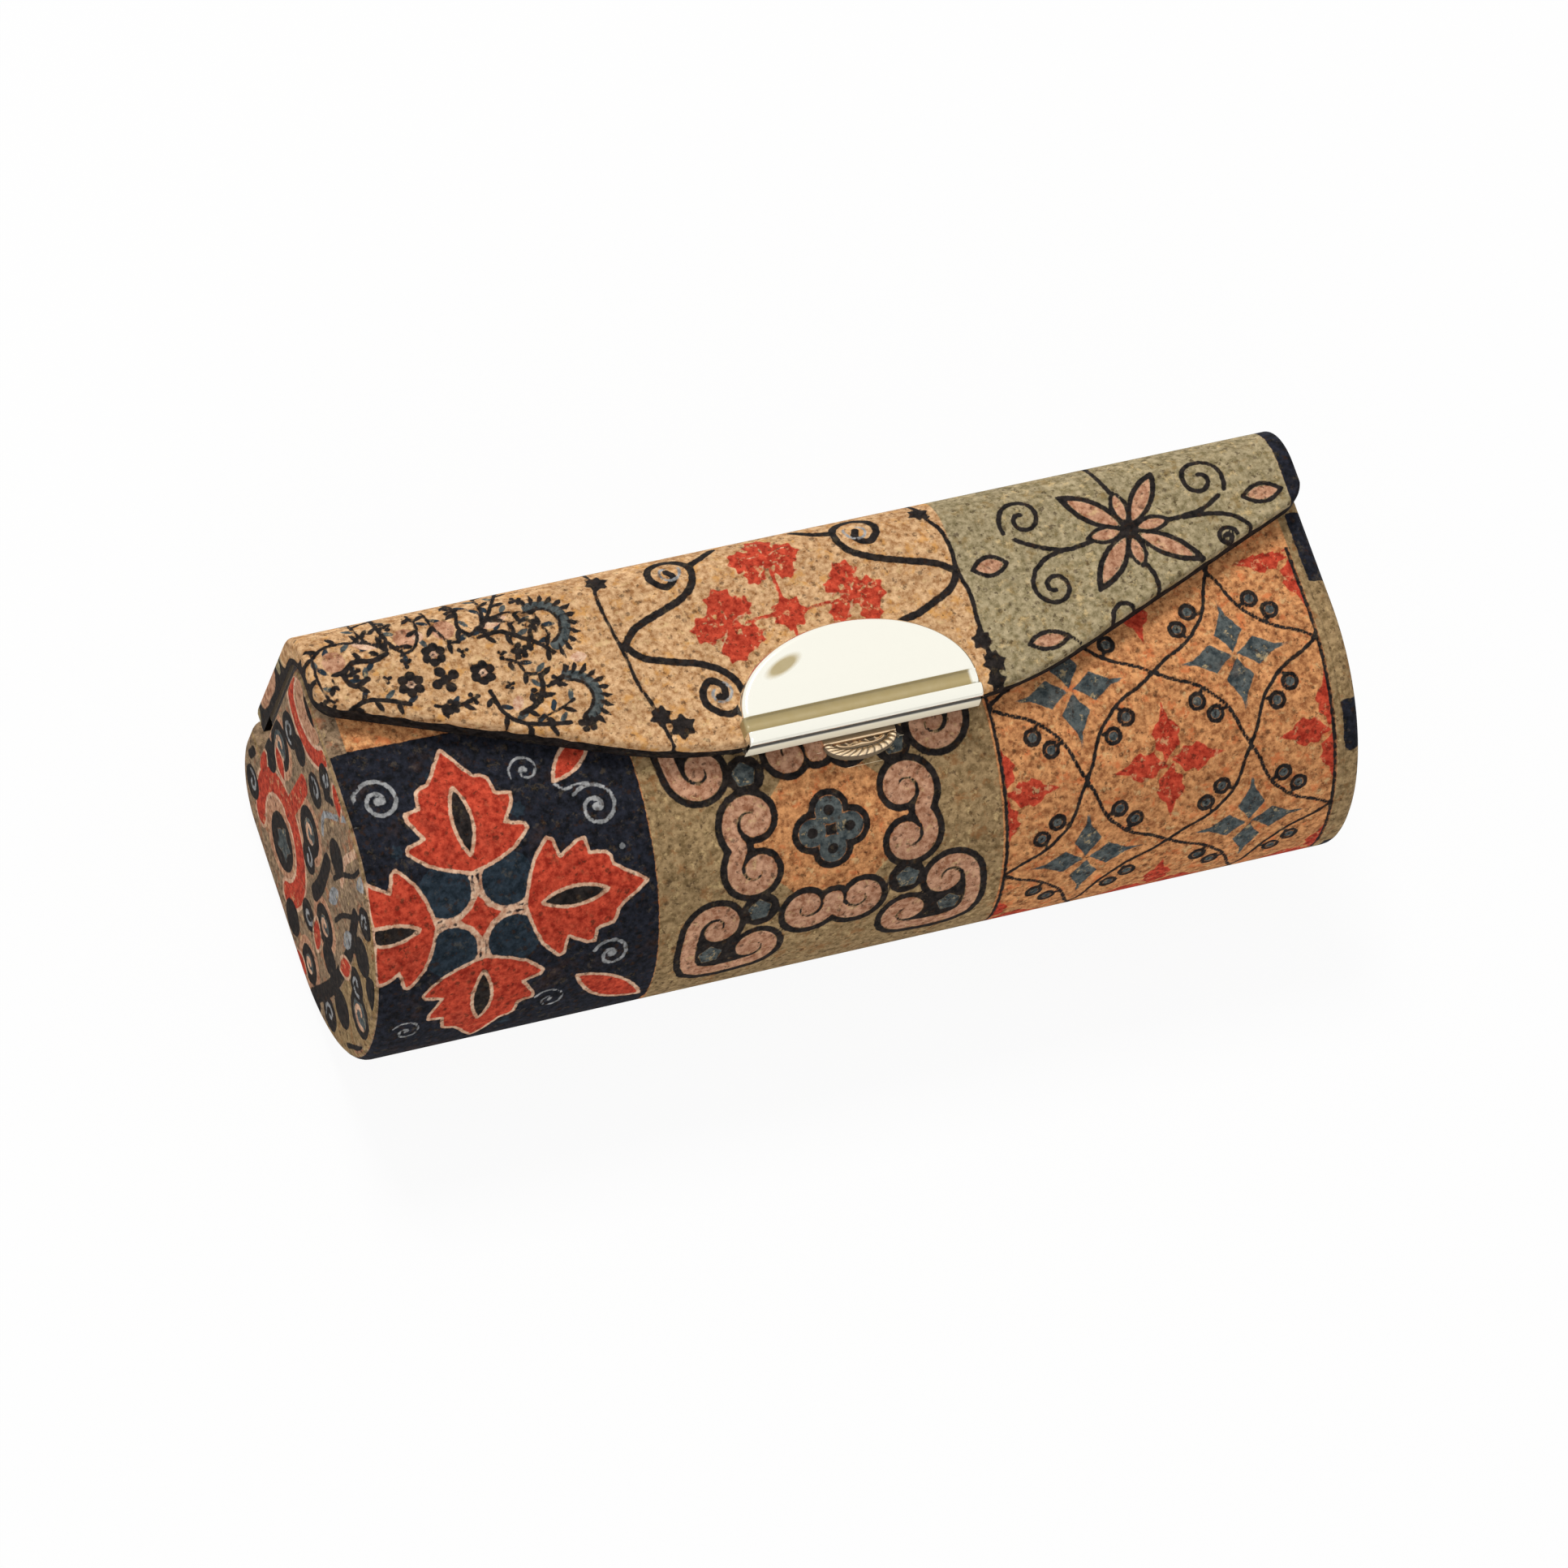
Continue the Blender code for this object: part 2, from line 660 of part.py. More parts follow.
def build_mirror():
    front = LINING_FACE - GLUE - FRAME_BACK - GLUE - MIRROR_GLASS
    back = LINING_FACE - GLUE
    low = (-MIRROR_HALF - FRAME_RIM, MIRROR_LOW - FRAME_RIM)
    high = (MIRROR_HALF + FRAME_RIM, MIRROR_HIGH + FRAME_RIM)
    frame = box("mirror_frame", (low[0], front, low[1]), (high[0], back, high[1]), LID)
    bevel_sharp(frame, FRAME_BEVEL, 1, FOLD_ANGLE)
    pocket_low = (-MIRROR_HALF, front - OVERRUN, MIRROR_LOW)
    pocket_high = (MIRROR_HALF, back - FRAME_BACK, MIRROR_HIGH)
    cut(frame, box("mirror_pocket", pocket_low, pocket_high, CUTTERS))
    glass_low = (-MIRROR_HALF + GLUE, front, MIRROR_LOW + GLUE)
    glass_high = (MIRROR_HALF - GLUE, front + MIRROR_GLASS, MIRROR_HIGH - GLUE)
    box("mirror", glass_low, glass_high, LID)


def build_clasp(lid_cover, lid_shell):
    cap = prism("clasp_cap", cap_outline(0), CUT_LOW, CAP_TOP, False, LID)
    bevel_sharp(cap, CAP_EDGE, CAP_EDGE_STEPS, FOLD_ANGLE)
    cut(cap, prism("cap_hollow", cap_outline(CAP_SHEET), 0, CAP_CEILING, False, CUTTERS))
    wide = CAP_HALF + OVERRUN
    deep = CAP_FRONT - OVERRUN
    cut(cap, box("cap_below", (-wide, deep, 0), (wide, BACK, LIP_BOTTOM), CUTTERS))
    below = wall_outline(LID_PROFILE, -CAP_GAP, WALL + OVERRUN)
    seat = prism("cap_seat", below, -wide, wide, True, CUTTERS)
    ahead = (HALF_LENGTH, CAP_FRONT + CAP_SHEET, CUT_HIGH)
    cut(seat, box("cap_seat_front", (-HALF_LENGTH, FRONT, 0), ahead, CUTTERS))
    cut(cap, seat)
    channel_low = (-CAP_HALF + CAP_EDGE / 2, CHANNEL_FRONT, CHANNEL_BOTTOM)
    channel_high = (CAP_HALF - CAP_EDGE / 2, CHANNEL_BACK, CUT_HIGH)
    cut(cap, box("cap_channel", channel_low, channel_high, CUTTERS))
    seam_low = (-wide, deep, SEAM_LOW)
    seam_high = (wide, CAP_FRONT + SEAM_DEPTH, SEAM_HIGH)
    cut(cap, box("cap_seam", seam_low, seam_high, CUTTERS))
    outline = rectangle((-PLATE_HALF, PLATE_FRONT), (PLATE_HALF, PLATE_BACK))
    layer = wall_outline(LID_PROFILE, LINING_DEPTH, WALL)
    plate = prism("clasp_backplate", layer, -wide, wide, True, LID)
    keep(plate, prism("backplate_plan", outline, CUT_LOW, CUT_HIGH, False, CUTTERS))
    for spot, side in (("left", -1), ("right", 1)):
        turn = Matrix.Translation((side * STUD_X, STUD_Y, 0))
        head_low = LID_TOP + SEAT
        head_high = head_low + RIVET_HEAD_HEIGHT
        tail = LID_TOP - WALL + SEAT
        profile = [(0, head_high), (STUD_HEAD, head_high), (STUD_HEAD, head_low)]
        profile += [(STUD_RADIUS, head_low), (STUD_RADIUS, tail), (0, tail)]
        turned_profile("clasp_rivet_" + spot, profile, RIVET_SIDES, turn, LID)
        radius = STUD_RADIUS + RIVET_CLEARANCE
        hole = cylinder("clasp_hole_" + spot, radius, CUT_LOW, CAP_CEILING, RIVET_SIDES, turn, CUTTERS)
        cut(lid_cover, hole)
        cut(lid_shell, hole)
        cut(plate, hole)


def build_button():
    outline = button_outline(0)
    button = prism("catch_button", outline, FOOT_BOTTOM, CAP_TOP, False, BUTTON)
    above = wall_outline(BODY_PROFILE, -BUTTON_PROUD - OVERRUN * 4, -BUTTON_PROUD)
    cut(button, prism("button_above", above, -BUTTON_HALF * 2, BUTTON_HALF * 2, True, CUTTERS))
    dish = wall_outline(BODY_PROFILE, -BUTTON_PROUD - OVERRUN, BUTTON_FLOOR_DEPTH - BUTTON_PROUD)
    dished = prism("button_dish", dish, -BUTTON_HALF, BUTTON_HALF, True, CUTTERS)
    keep(dished, prism("button_dish_plan", dish_outline(), CUT_LOW, CUT_HIGH, False, CUTTERS))
    cut(button, dished)
    foot_low = (-FOOT_HALF, FOOT_FRONT, FOOT_BOTTOM)
    foot_high = (FOOT_HALF, FOOT_BACK, FOOT_TOP)
    join(button, box("button_foot", foot_low, foot_high, CUTTERS))
    across, along = BUTTON_HALF - BEAD_RADIUS, BUTTON_DEPTH - BEAD_RADIUS
    rope = arc((0, BUTTON_Y), across, along, ROPE_START, -180 - ROPE_START, BEADS - 1)
    for index, spot in enumerate(rope):
        height = shoulder_height(spot.y) + BUTTON_PROUD - BEAD_SINK
        join(button, bead(f"rope_bead_{index}", (spot.x, spot.y, height), BEAD_RADIUS))
    return button


def bead(name, spot, radius):
    """One turn of the roped edge: a ball drawn out a little along the rim."""
    mesh = bpy.data.meshes.new(name)
    work = bmesh.new()
    bmesh.ops.create_icosphere(work, subdivisions=2, radius=radius)
    bmesh.ops.translate(work, vec=Vector(spot), verts=work.verts)
    work.to_mesh(mesh)
    work.free()
    return placed(name, mesh, CUTTERS)


def build_catch(shell, lining):
    outline = escutcheon_outline(0)
    wide = PAD_HALF + OVERRUN
    plate = prism("catch_plate", wall_outline(BODY_PROFILE, 0, COVER), -wide, wide, True, CASE)
    keep(plate, prism("catch_plate_plan", outline, CUT_LOW, CUT_HIGH, False, CUTTERS))
    cut(plate, prism("plate_hole", button_outline(BUTTON_CLEARANCE), CUT_LOW, CUT_HIGH, False, CUTTERS))
    pads = wall_outline(BODY_PROFILE, WALL + GLUE, WALL + GLUE + BRACKET)
    bracket = prism("spring_bracket", pads, -wide, wide, True, CASE)
    pads_low, pads_high = (-PAD_HALF, PAD_FRONT, CUT_LOW), (PAD_HALF, PAD_BACK, CUT_HIGH)
    keep(bracket, box("pads_plan", pads_low, pads_high, CUTTERS))
    room = ARM_INNER
    cut(bracket, box("pads_middle", (-room, FRONT, CUT_LOW), (room, BACK, CUT_HIGH), CUTTERS))
    floor_low = (-ARM_INNER - BRACKET, ARM_FRONT, BRACKET_FLOOR - BRACKET)
    floor_high = (ARM_INNER + BRACKET, ARM_BACK, BRACKET_FLOOR)
    floor = box("bracket_floor", floor_low, floor_high, CUTTERS)
    for spot, side in (("left", -1), ("right", 1)):
        across = sorted((side * ARM_INNER, side * (ARM_INNER + BRACKET)))
        low = (across[0], PAD_FRONT, BRACKET_FLOOR - BRACKET)
        high = (across[1], ARM_BACK, CUT_HIGH)
        arm = box("bracket_arm_" + spot, low, high, CUTTERS)
        above = wall_outline(BODY_PROFILE, -OVERRUN * 6, WALL + GLUE + BRACKET / 2)
        cut(arm, prism("arm_top_" + spot, above, -PAD_HALF, PAD_HALF, True, CUTTERS))
        join(floor, arm)
    join(bracket, floor)
    for spot, side in (("left", -1), ("right", 1)):
        build_catch_rivet("catch_rivet_" + spot, catch_rivet_place(side), plate, [shell, lining, bracket])


def build_catch_rivet(name, place, plate, pierced):
    """A rivet straight through the wall: a sunk head under the flap, a tail under the bracket."""
    top = -SEAT
    head_low = SEAT - HEAD_SINK
    tail_high = -(WALL + GLUE + BRACKET + SEAT)
    tail_low = tail_high - RIVET_HEAD_HEIGHT
    profile = [(0, top), (RIVET_HEAD, top), (RIVET_HEAD, head_low), (RIVET_RADIUS, head_low)]
    profile += [(RIVET_RADIUS, tail_high), (RIVET_HEAD, tail_high)]
    profile += [(RIVET_HEAD, tail_low), (0, tail_low)]
    turned_profile(name, profile, RIVET_SIDES, place, CASE)
    radius = RIVET_RADIUS + RIVET_CLEARANCE
    hole = cylinder(name + "_hole", radius, tail_low, OVERRUN, RIVET_SIDES, place, CUTTERS)
    radius = RIVET_HEAD + RIVET_CLEARANCE
    sink = cylinder(name + "_sink", radius, -HEAD_SINK, OVERRUN, RIVET_SIDES, place, CUTTERS)
    cut(plate, hole)
    cut(plate, sink)
    for piece in pierced:
        cut(piece, hole)


def build_spring():
    """One unbroken coil between the bracket's floor and the button's foot."""
    low = BRACKET_FLOOR + SPRING_END_GAP + SPRING_WIRE
    high = FOOT_BOTTOM - SPRING_END_GAP - SPRING_WIRE
    count = round(SPRING_TURNS * SPRING_POINTS)
    curve = bpy.data.curves.new("catch_spring", "CURVE")
    curve.dimensions = "3D"
    curve.bevel_depth = SPRING_WIRE
    curve.bevel_resolution = 1
    curve.use_fill_caps = True
    spline = curve.splines.new("POLY")
    spline.points.add(count)
    for index, point in enumerate(spline.points):
        angle = 2 * pi * index / SPRING_POINTS
        height = low + (high - low) * index / count
        point.co = (SPRING_RADIUS * cos(angle), SPRING_Y + SPRING_RADIUS * sin(angle), height, 1)
    drawn = bpy.data.objects.new("catch_spring_line", curve)
    bpy.context.scene.collection.objects.link(drawn)
    bpy.context.view_layer.update()
    graph = bpy.context.evaluated_depsgraph_get()
    mesh = bpy.data.meshes.new_from_object(drawn.evaluated_get(graph))
    bpy.data.objects.remove(drawn, do_unlink=True)
    tidy(mesh)
    placed("catch_spring", mesh, CASE)
    gap = (high - low) * SPRING_POINTS / count - 2 * SPRING_WIRE
    print(f"least gap of the spring to itself: {gap * 1000:.2f} mm")


def finish(collection, name, place=None):
    """Gives each piece its material and smooth faces, and hangs moving pieces on their joint."""
    joint = None
    if place is not None:
        joint = bpy.data.objects.new(name, None)
        joint.location = place
        collection.objects.link(joint)
    for piece in [item for item in collection.objects if item.type == "MESH"]:
        piece.data.materials.clear()
        piece.data.materials.append(PALETTE[slot_of(piece.name)])
        piece.data.shade_smooth()
        piece.data.set_sharp_from_angle(angle=SMOOTH_ANGLE)
        if joint:
            piece.parent = joint
            piece.matrix_parent_inverse = Matrix.Translation(place).inverted()


def slot_of(name):
    for slot, words in SLOTS.items():
        if any(name.startswith(word) for word in words):
            return slot
    return "pale_gold"


SLOTS = {
    "printed_cork": ("body_cover", "lid_cover", "end_cover"),
    "stiff_board": ("body_shell", "lid_shell", "end_board"),
    "velvet": ("body_lining", "lid_lining", "end_lining"),
    "steel": ("catch_spring", "spring_bracket", "hinge_pin", "clasp_backplate"),
    "mirror_glass": ("mirror",),
    "pale_gold": (),
}

clear_scene()
CASE = new_collection("lipstick_box")
LID = new_collection("lipstick_box_lid")
BUTTON = new_collection("lipstick_box_button")
CUTTERS = new_collection("cutters", helper=True)
PALETTE = {name: new_material(name) for name in MATERIALS}
ROOM_FOR_WALL = body_layer("room_for_wall", -OVERRUN, WALL + END_LINING_GAP, -END_LINING_GAP, CUTTERS)
BODY_SHELL, BODY_LINING = build_body()
build_end(-1, "left")
build_end(1, "right")
LID_COVER, LID_SHELL, LID_LINING = build_lid()
build_hinge([BODY_SHELL, BODY_LINING], [LID_SHELL, LID_LINING])
build_mirror()
build_clasp(LID_COVER, LID_SHELL)
build_button()
build_catch(BODY_SHELL, BODY_LINING)
build_spring()
finish(CASE, "case")
finish(LID, "lid_joint", Vector((0, AXIS_Y, AXIS_Z)))
finish(BUTTON, "button_joint", Vector((0, SPRING_Y, FOOT_TOP)))
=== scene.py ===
"""Dresses the lipstick box: printed cork skins, gilt clasp and catch, velvet lining, stage and camera."""

import json
from math import cos, pi, radians, sin, sqrt

import bmesh
import bpy
import numpy as np
from bpy.props import FloatProperty, FloatVectorProperty, PointerProperty
from mathutils import Matrix, Vector


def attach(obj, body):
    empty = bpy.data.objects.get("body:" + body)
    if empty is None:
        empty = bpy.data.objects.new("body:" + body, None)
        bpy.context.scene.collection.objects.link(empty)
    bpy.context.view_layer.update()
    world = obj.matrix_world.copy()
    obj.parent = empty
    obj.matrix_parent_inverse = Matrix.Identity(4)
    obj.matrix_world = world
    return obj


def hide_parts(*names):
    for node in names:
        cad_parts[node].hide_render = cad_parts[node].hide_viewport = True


bl_info = {
    "name": "Lipstick Box Dressing",
    "blender": (4, 5, 0),
    "version": (1, 0, 0),
    "location": "View3D > Sidebar > Lipstick Box",
    "description": "Prints the cork, casts the clasp and lights the stage round the packed lipstick box",
    "category": "Object",
}

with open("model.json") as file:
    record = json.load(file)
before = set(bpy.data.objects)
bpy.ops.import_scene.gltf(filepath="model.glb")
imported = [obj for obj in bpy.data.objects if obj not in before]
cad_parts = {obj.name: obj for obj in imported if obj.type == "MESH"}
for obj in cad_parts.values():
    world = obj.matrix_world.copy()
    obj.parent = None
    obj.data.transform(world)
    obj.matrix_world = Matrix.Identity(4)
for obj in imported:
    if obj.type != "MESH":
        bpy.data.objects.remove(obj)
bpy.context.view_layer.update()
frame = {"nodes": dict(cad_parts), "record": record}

MM = 0.001

# The case's outside, in millimetres, as its source has it
HALF = 45.0
SEAM = 43.25
LID_HALF = 44.9
BACK = 16.2
BELLY = (-3.65, 11.44)
BELLY_ACROSS = 12.55
SHOULDER = (-1.01, 11.44)
SHOULDER_ACROSS = 15.19
TOP = 27.0
FOOT_CORNER = 6.0
LIP_TOP = 8.45
LID_LOW = 11.55
LID_RISE = 2.4
LID_CORNER = 4.8
WALL = 2.24
FLAP_FRONT = -3.3
FLAP_FLAT = 9.0
FLAP_BLEND = 20.0
FLAP_SLOPE = 0.382
FLAP_CORNER = 2.5
RIM_OVERLAP = 3.0
CLASP_TOP = 30.95
CLASP_FRONT = -3.85
CLASP_LOW = 28.05
CLASP_BAND = (-2.85, -1.45)
CLASP_MIDDLE = -1.6
CATCH_BACK = -4.1
CATCH_TOP = 27.25

# Lengths along the walked sections, in millimetres
UNDERSIDE = -6.0  # where the front's tiles give way to the underside's
COARSE_END = -7  # below it the body's rows stand wider apart
LEANING_REACH = 14.5  # about how far the rows that lean with the flap's edge reach
LEANING_END = 12.2  # where the lid's leaning rows end
COARSE_START = 19  # past it the lid's rows stand wider apart
END_EASE = 0.6  # the strip at each end of the lid where the columns crowd into the fold

# Points in the case, in metres, that the cork's and the castings' faces turn away from
CASE_INSIDE = (0, 0, 0.013)
UNDER_LID = (0, 0, 0.02)

# The photo's width in pixels and the camera's sensor in millimetres
PHOTO_WIDTH = 1932
SENSOR = 36


# ---------------------------------------------------------------- shader nodes


class Term:
    """A shader value that Python's operators work on by adding Math nodes."""

    def __init__(self, sheet, socket):
        self.sheet = sheet
        self.socket = socket

    def math(self, operation, *values):
        return self.sheet.node("ShaderNodeMath", dict(enumerate(values)), operation=operation)

    def __add__(self, other):
        return self.math("ADD", self, other)

    __radd__ = __add__

    def __sub__(self, other):
        return self.math("SUBTRACT", self, other)

    def __rsub__(self, other):
        return self.math("SUBTRACT", other, self)

    def __mul__(self, other):
        return self.math("MULTIPLY", self, other)

    def clamped(self):
        return self.sheet.node("ShaderNodeClamp", {0: self})


class Sheet:
    """One material's nodes."""

    SOCKETS = {
        "colour": "Base Color", "roughness": "Roughness", "metallic": "Metallic", "normal": "Normal",
        "sheen": "Sheen Weight", "specular": "Specular IOR Level",
    }  # fmt: skip

    def __init__(self, name):
        self.material = bpy.data.materials.new(name)
        self.material.use_nodes = True
        self.tree = self.material.node_tree
        self.shader = self.tree.nodes["Principled BSDF"]
        self.place = self.tree.nodes.new("ShaderNodeTexCoord").outputs["Object"]

    def node(self, kind, inputs, output=0, **settings):
        """Adds a node; its settings are set before its sockets."""
        made = self.tree.nodes.new(kind)
        for key, value in settings.items():
            setattr(made, key, value)
        for key, value in inputs.items():
            self.feed(made.inputs[key], value)
        return Term(self, made.outputs[output])

    def feed(self, socket, value):
        value = value.socket if isinstance(value, Term) else value
        if isinstance(value, bpy.types.NodeSocket):
            self.tree.links.new(value, socket)
        elif socket.type == "RGBA" and len(value) == 3:
            socket.default_value = (*value, 1.0)
        else:
            socket.default_value = value

    def noise(self, size, detail=3.0, roughness=0.55, stretch=None):
        """Noise whose grains are about size metres across."""
        place = self.place
        if stretch:
            place = self.node("ShaderNodeVectorMath", {0: place, 1: stretch}, operation="MULTIPLY")
        inputs = {"Vector": place, "Scale": 1.0 / size, "Detail": detail, "Roughness": roughness}
        return self.node("ShaderNodeTexNoise", inputs)

    def cells(self, size):
        """Distance to the nearest of scattered points about size metres apart."""
        return self.node("ShaderNodeTexVoronoi", {"Vector": self.place, "Scale": 1.0 / size})

    def mix(self, share, low, high, blend="MIX"):
        """A colour between two, by a share from 0 to 1."""
        inputs = {0: share, 6: low, 7: high}
        return self.node("ShaderNodeMix", inputs, 2, data_type="RGBA", blend_type=blend)

    def attribute(self, name):
        return self.node("ShaderNodeAttribute", {}, "Fac", attribute_name=name)

    def bump(self, height, distance, strength):
        return self.node("ShaderNodeBump", {"Strength": strength, "Distance": distance, "Height": height})

    def finish(self, **values):
        """Feeds the named sockets of the shader and gives back the material."""
        for key, value in values.items():
            self.feed(self.shader.inputs[self.SOCKETS[key]], value)
        return self.material


# ---------------------------------------------------------------- print drawing


def smooth(points, steps=8):
    """A smooth line through points."""
    points = np.array(points, float)
    padded = [2 * points[0] - points[1], *points, 2 * points[-1] - points[-2]]
    found = []
    for a, b, c, d in zip(padded, padded[1:], padded[2:], padded[3:]):
        for t in np.arange(steps) / steps:
            found.append(
                0.5 * (2 * b + (c - a) * t + (2 * a - 5 * b + 4 * c - d) * t**2 + (3 * b - a - 3 * c + d) * t**3)
            )
    return np.array([*found, points[-1]])


def arc_points(centre, across, up, start, end, steps):
    """Part of an ellipse, between two angles in degrees."""
    angle = np.radians(np.linspace(start, end, steps + 1))
    return np.stack([centre[0] + across * np.cos(angle), centre[1] + up * np.sin(angle)], axis=1)


def walked(points):
    """The length walked along a line at each of its points."""
    return np.concatenate([[0], np.cumsum(np.hypot(*np.diff(points, axis=0).T))])


def at_length(points, length, spots):
    """Where the line, or its directions, are at these lengths."""
    return np.stack([np.interp(spots, length, points[:, k]) for k in (0, 1)], axis=-1)


def unit(ways):
    return ways / np.hypot(ways[..., 0], ways[..., 1])[..., None]


def curl_points(centre, radius, start, turns, hand, inner=0.18):
    """A spiral line from its outside, at angle start in degrees, in to its middle."""
    count = max(10, int(abs(turns) * 22))
    t = np.linspace(0, 1, count)
    angle = radians(start) + hand * 2 * pi * turns * t
    reach = radius * (1 - (1 - inner) * t**0.9)
    return np.stack([centre[0] + reach * np.cos(angle), centre[1] + reach * np.sin(angle)], axis=1)


def placed(points, centre, turn=0):
    """Points of a motif drawn about 0,0, turned in degrees and moved to its place."""
    c, s = cos(radians(turn)), sin(radians(turn))
    return np.array(points, float) @ np.array([[c, s], [-s, c]]) + np.array(centre, float)


class Print:
    """Distances in millimetres from each point of a cork sheet to the shapes printed on it; minus is inside."""

    FAR = 1.0

    def __init__(self, across, along):
        self.points = np.stack([across, along], axis=1)
        self.inks = {name: np.full(len(self.points), self.FAR) for name in INKS}

    def inside(self, low, high):
        """Which points are in a rectangle between two corners."""
        return ((self.points > low) & (self.points < high)).all(axis=1)

    def near(self, outline, margin):
        return np.flatnonzero(self.inside(outline.min(axis=0) - margin, outline.max(axis=0) + margin))

    def to_line(self, line, index):
        """Distance from the chosen points to a line of straight steps."""
        found = np.full(len(index), 1e3)
        spots = self.points[index]
        for start, end in zip(line[:-1], line[1:]):
            along = end - start
            share = ((spots - start) @ along / max(along @ along, 1e-9)).clip(0, 1)
            offset = spots - start - share[:, None] * along
            found = np.minimum(found, np.hypot(offset[:, 0], offset[:, 1]))
        return found

    def to_outline(self, outline, index):
        """Distance to a closed outline, minus inside it."""
        closed = np.concatenate([outline, outline[:1]])
        distance = self.to_line(closed, index)
        x, y = self.points[index].T
        inside = np.zeros(len(index), bool)
        for (x0, y0), (x1, y1) in zip(closed[:-1], closed[1:]):
            if y0 != y1:
                crosses = (y0 > y) != (y1 > y)
                inside ^= crosses & (x < (x1 - x0) * (y - y0) / (y1 - y0) + x0)
        return np.where(inside, -distance, distance)

    def put(self, name, index, distance):
        self.inks[name][index] = np.minimum(self.inks[name][index], distance)

    def clear(self, names, index, distance):
        """Keeps inks out of a shape."""
        for name in names:
            self.inks[name][index] = np.maximum(self.inks[name][index], -distance)

    def line(self, name, line, width):
        self.put(name, *self.reach(np.array(line, float), width))

    def reach(self, line, width):
        index = self.near(line, self.FAR + width)
        return index, self.to_line(line, index) - width / 2

    def ribbon(self, line, width, edge):
        """A peach band with dark edges; carve then clears the dark out of the band."""
        index, distance = self.reach(line, width)
        self.put("dark", index, distance - edge)
        self.put("peach", index, distance)

    def carve(self, name, other, low, high):
        """Keeps one ink out of another, within a rectangle."""
        inside = self.inside(low, high)
        self.clear([name], inside, self.inks[other][inside])

    def fill(self, name, outline, grow=0.0, holes=()):
        """Fills an outline with one ink, or with None, and keeps the inks named in holes out of it."""
        outline = np.array(outline, float)
        index = self.near(outline, self.FAR + grow)
        distance = self.to_outline(outline, index) - grow
        if name:
            self.put(name, index, distance)
        self.clear(holes, index, distance)

    def blot(self, name, centre, radius, points, depth, turn=0.0, holes=()):
        """A jagged round blot, like a small maple leaf."""
        angle = np.linspace(0, 2 * pi, 2 * points, endpoint=False) + radians(turn)
        reach = np.where(np.arange(2 * points) % 2, radius * depth, radius)
        self.fill(name, placed(np.stack([reach * np.cos(angle), reach * np.sin(angle)], axis=1), centre), holes=holes)

    def disc(self, name, centre, radius, holes=()):
        middle = np.array([centre], float)
        index = self.near(middle, radius + self.FAR)
        distance = np.hypot(*(self.points[index] - middle).T) - radius
        self.put(name, index, distance)
        self.clear(holes, index, distance)

    def discs(self, centre, *rings):
        """Discs round one middle, each kept clear of the inks that it names."""
        for name, radius, *holes in rings:
            self.disc(name, centre, radius, holes)

    def curl(self, name, centre, radius, start, turns, hand, width, inner=0.18):
        self.line(name, curl_points(centre, radius, start, turns, hand, inner), width)

    def within(self, low, high, draw, name, *shape):
        """Draws with one ink inside a rectangle only."""
        before = self.inks[name].copy()
        draw(name, *shape)
        self.inks[name] = np.where(self.inside(low, high), self.inks[name], before)

    def wipe(self, low, high):
        """Clears every ink inside a rectangle."""
        self.clear(INKS, self.inside(low, high), -self.FAR)

    def area(self, name, low, high):
        """A tile's ground: a rectangle between two corners."""
        middle = (np.array(low) + np.array(high)) / 2
        half = (np.array(high) - np.array(low)) / 2
        offset = np.abs(self.points - middle) - half
        outside = np.hypot(*np.maximum(offset, 0).T)
        self.put(name, np.arange(len(offset)), outside + np.minimum(offset.max(axis=1), 0))

    def store(self, mesh):
        for name in INKS:
            data = mesh.attributes.new(name, "FLOAT", "POINT").data
            data.foreach_set("value", self.inks[name].clip(-self.FAR, self.FAR).astype(np.float32))


INKS = ("khaki", "navy", "teal", "slate", "peach", "cream", "red", "dark", "pale")
CORNERS = ((-1, -1), (-1, 1), (1, -1), (1, 1))


def vesica(length, width, start=0.0, steps=8):
    """A leaf with two points, along +x."""
    t = np.linspace(0, 1, steps + 1)
    upper = np.stack([start + length * t, width * 2 * t * (1 - t)], axis=1)
    return np.concatenate([upper, (upper * [1, -1])[-2:0:-1]])


def both_sides(half):
    """A closed outline from the half of it above the x axis."""
    half = np.array(half, float)
    return np.concatenate([half, (half * [1, -1])[-2:0:-1]])


LOTUS_HALF = (
    (0, 0.15), (0.3, 1.1), (0.75, 2.5), (1.35, 3.8), (2.1, 4.7), (2.75, 5.35), (3.15, 5.15), (3.4, 4.1), (3.6, 3.55),
    (4.3, 4.0), (5.3, 4.6), (5.95, 4.65), (6.05, 4.1), (6.15, 3.35), (6.8, 3.3), (7.6, 3.15), (7.95, 2.7),
    (8.1, 2.0), (8.9, 1.35), (9.8, 0.8), (10.9, 0),
)  # fmt: skip


def draw_lotus(sheet, base, turn):
    """A lobed red leaf with a cream edge, cream veins and a dark eye."""
    leaf = placed(both_sides(LOTUS_HALF), base, turn)
    sheet.fill("cream", leaf, 0.17)
    sheet.fill("red", leaf, -0.13)
    eye = placed(vesica(5.7, 1.55, 1.6), base, turn)
    sheet.fill("cream", eye, 0.26, holes=["red"])
    sheet.fill("dark", eye, -0.05)
    for start, end, side in ((1.3, 2.4, 1.5), (1.2, 3.7, 3.0), (7.4, 8.4, 0.4)):
        for hand in (-1, 1):
            vein = [(start, 0.2 * hand), ((start + end) / 2, side * 0.62 * hand), (end, side * hand)]
            sheet.line("cream", smooth(placed(vein, base, turn), 4), 0.09)


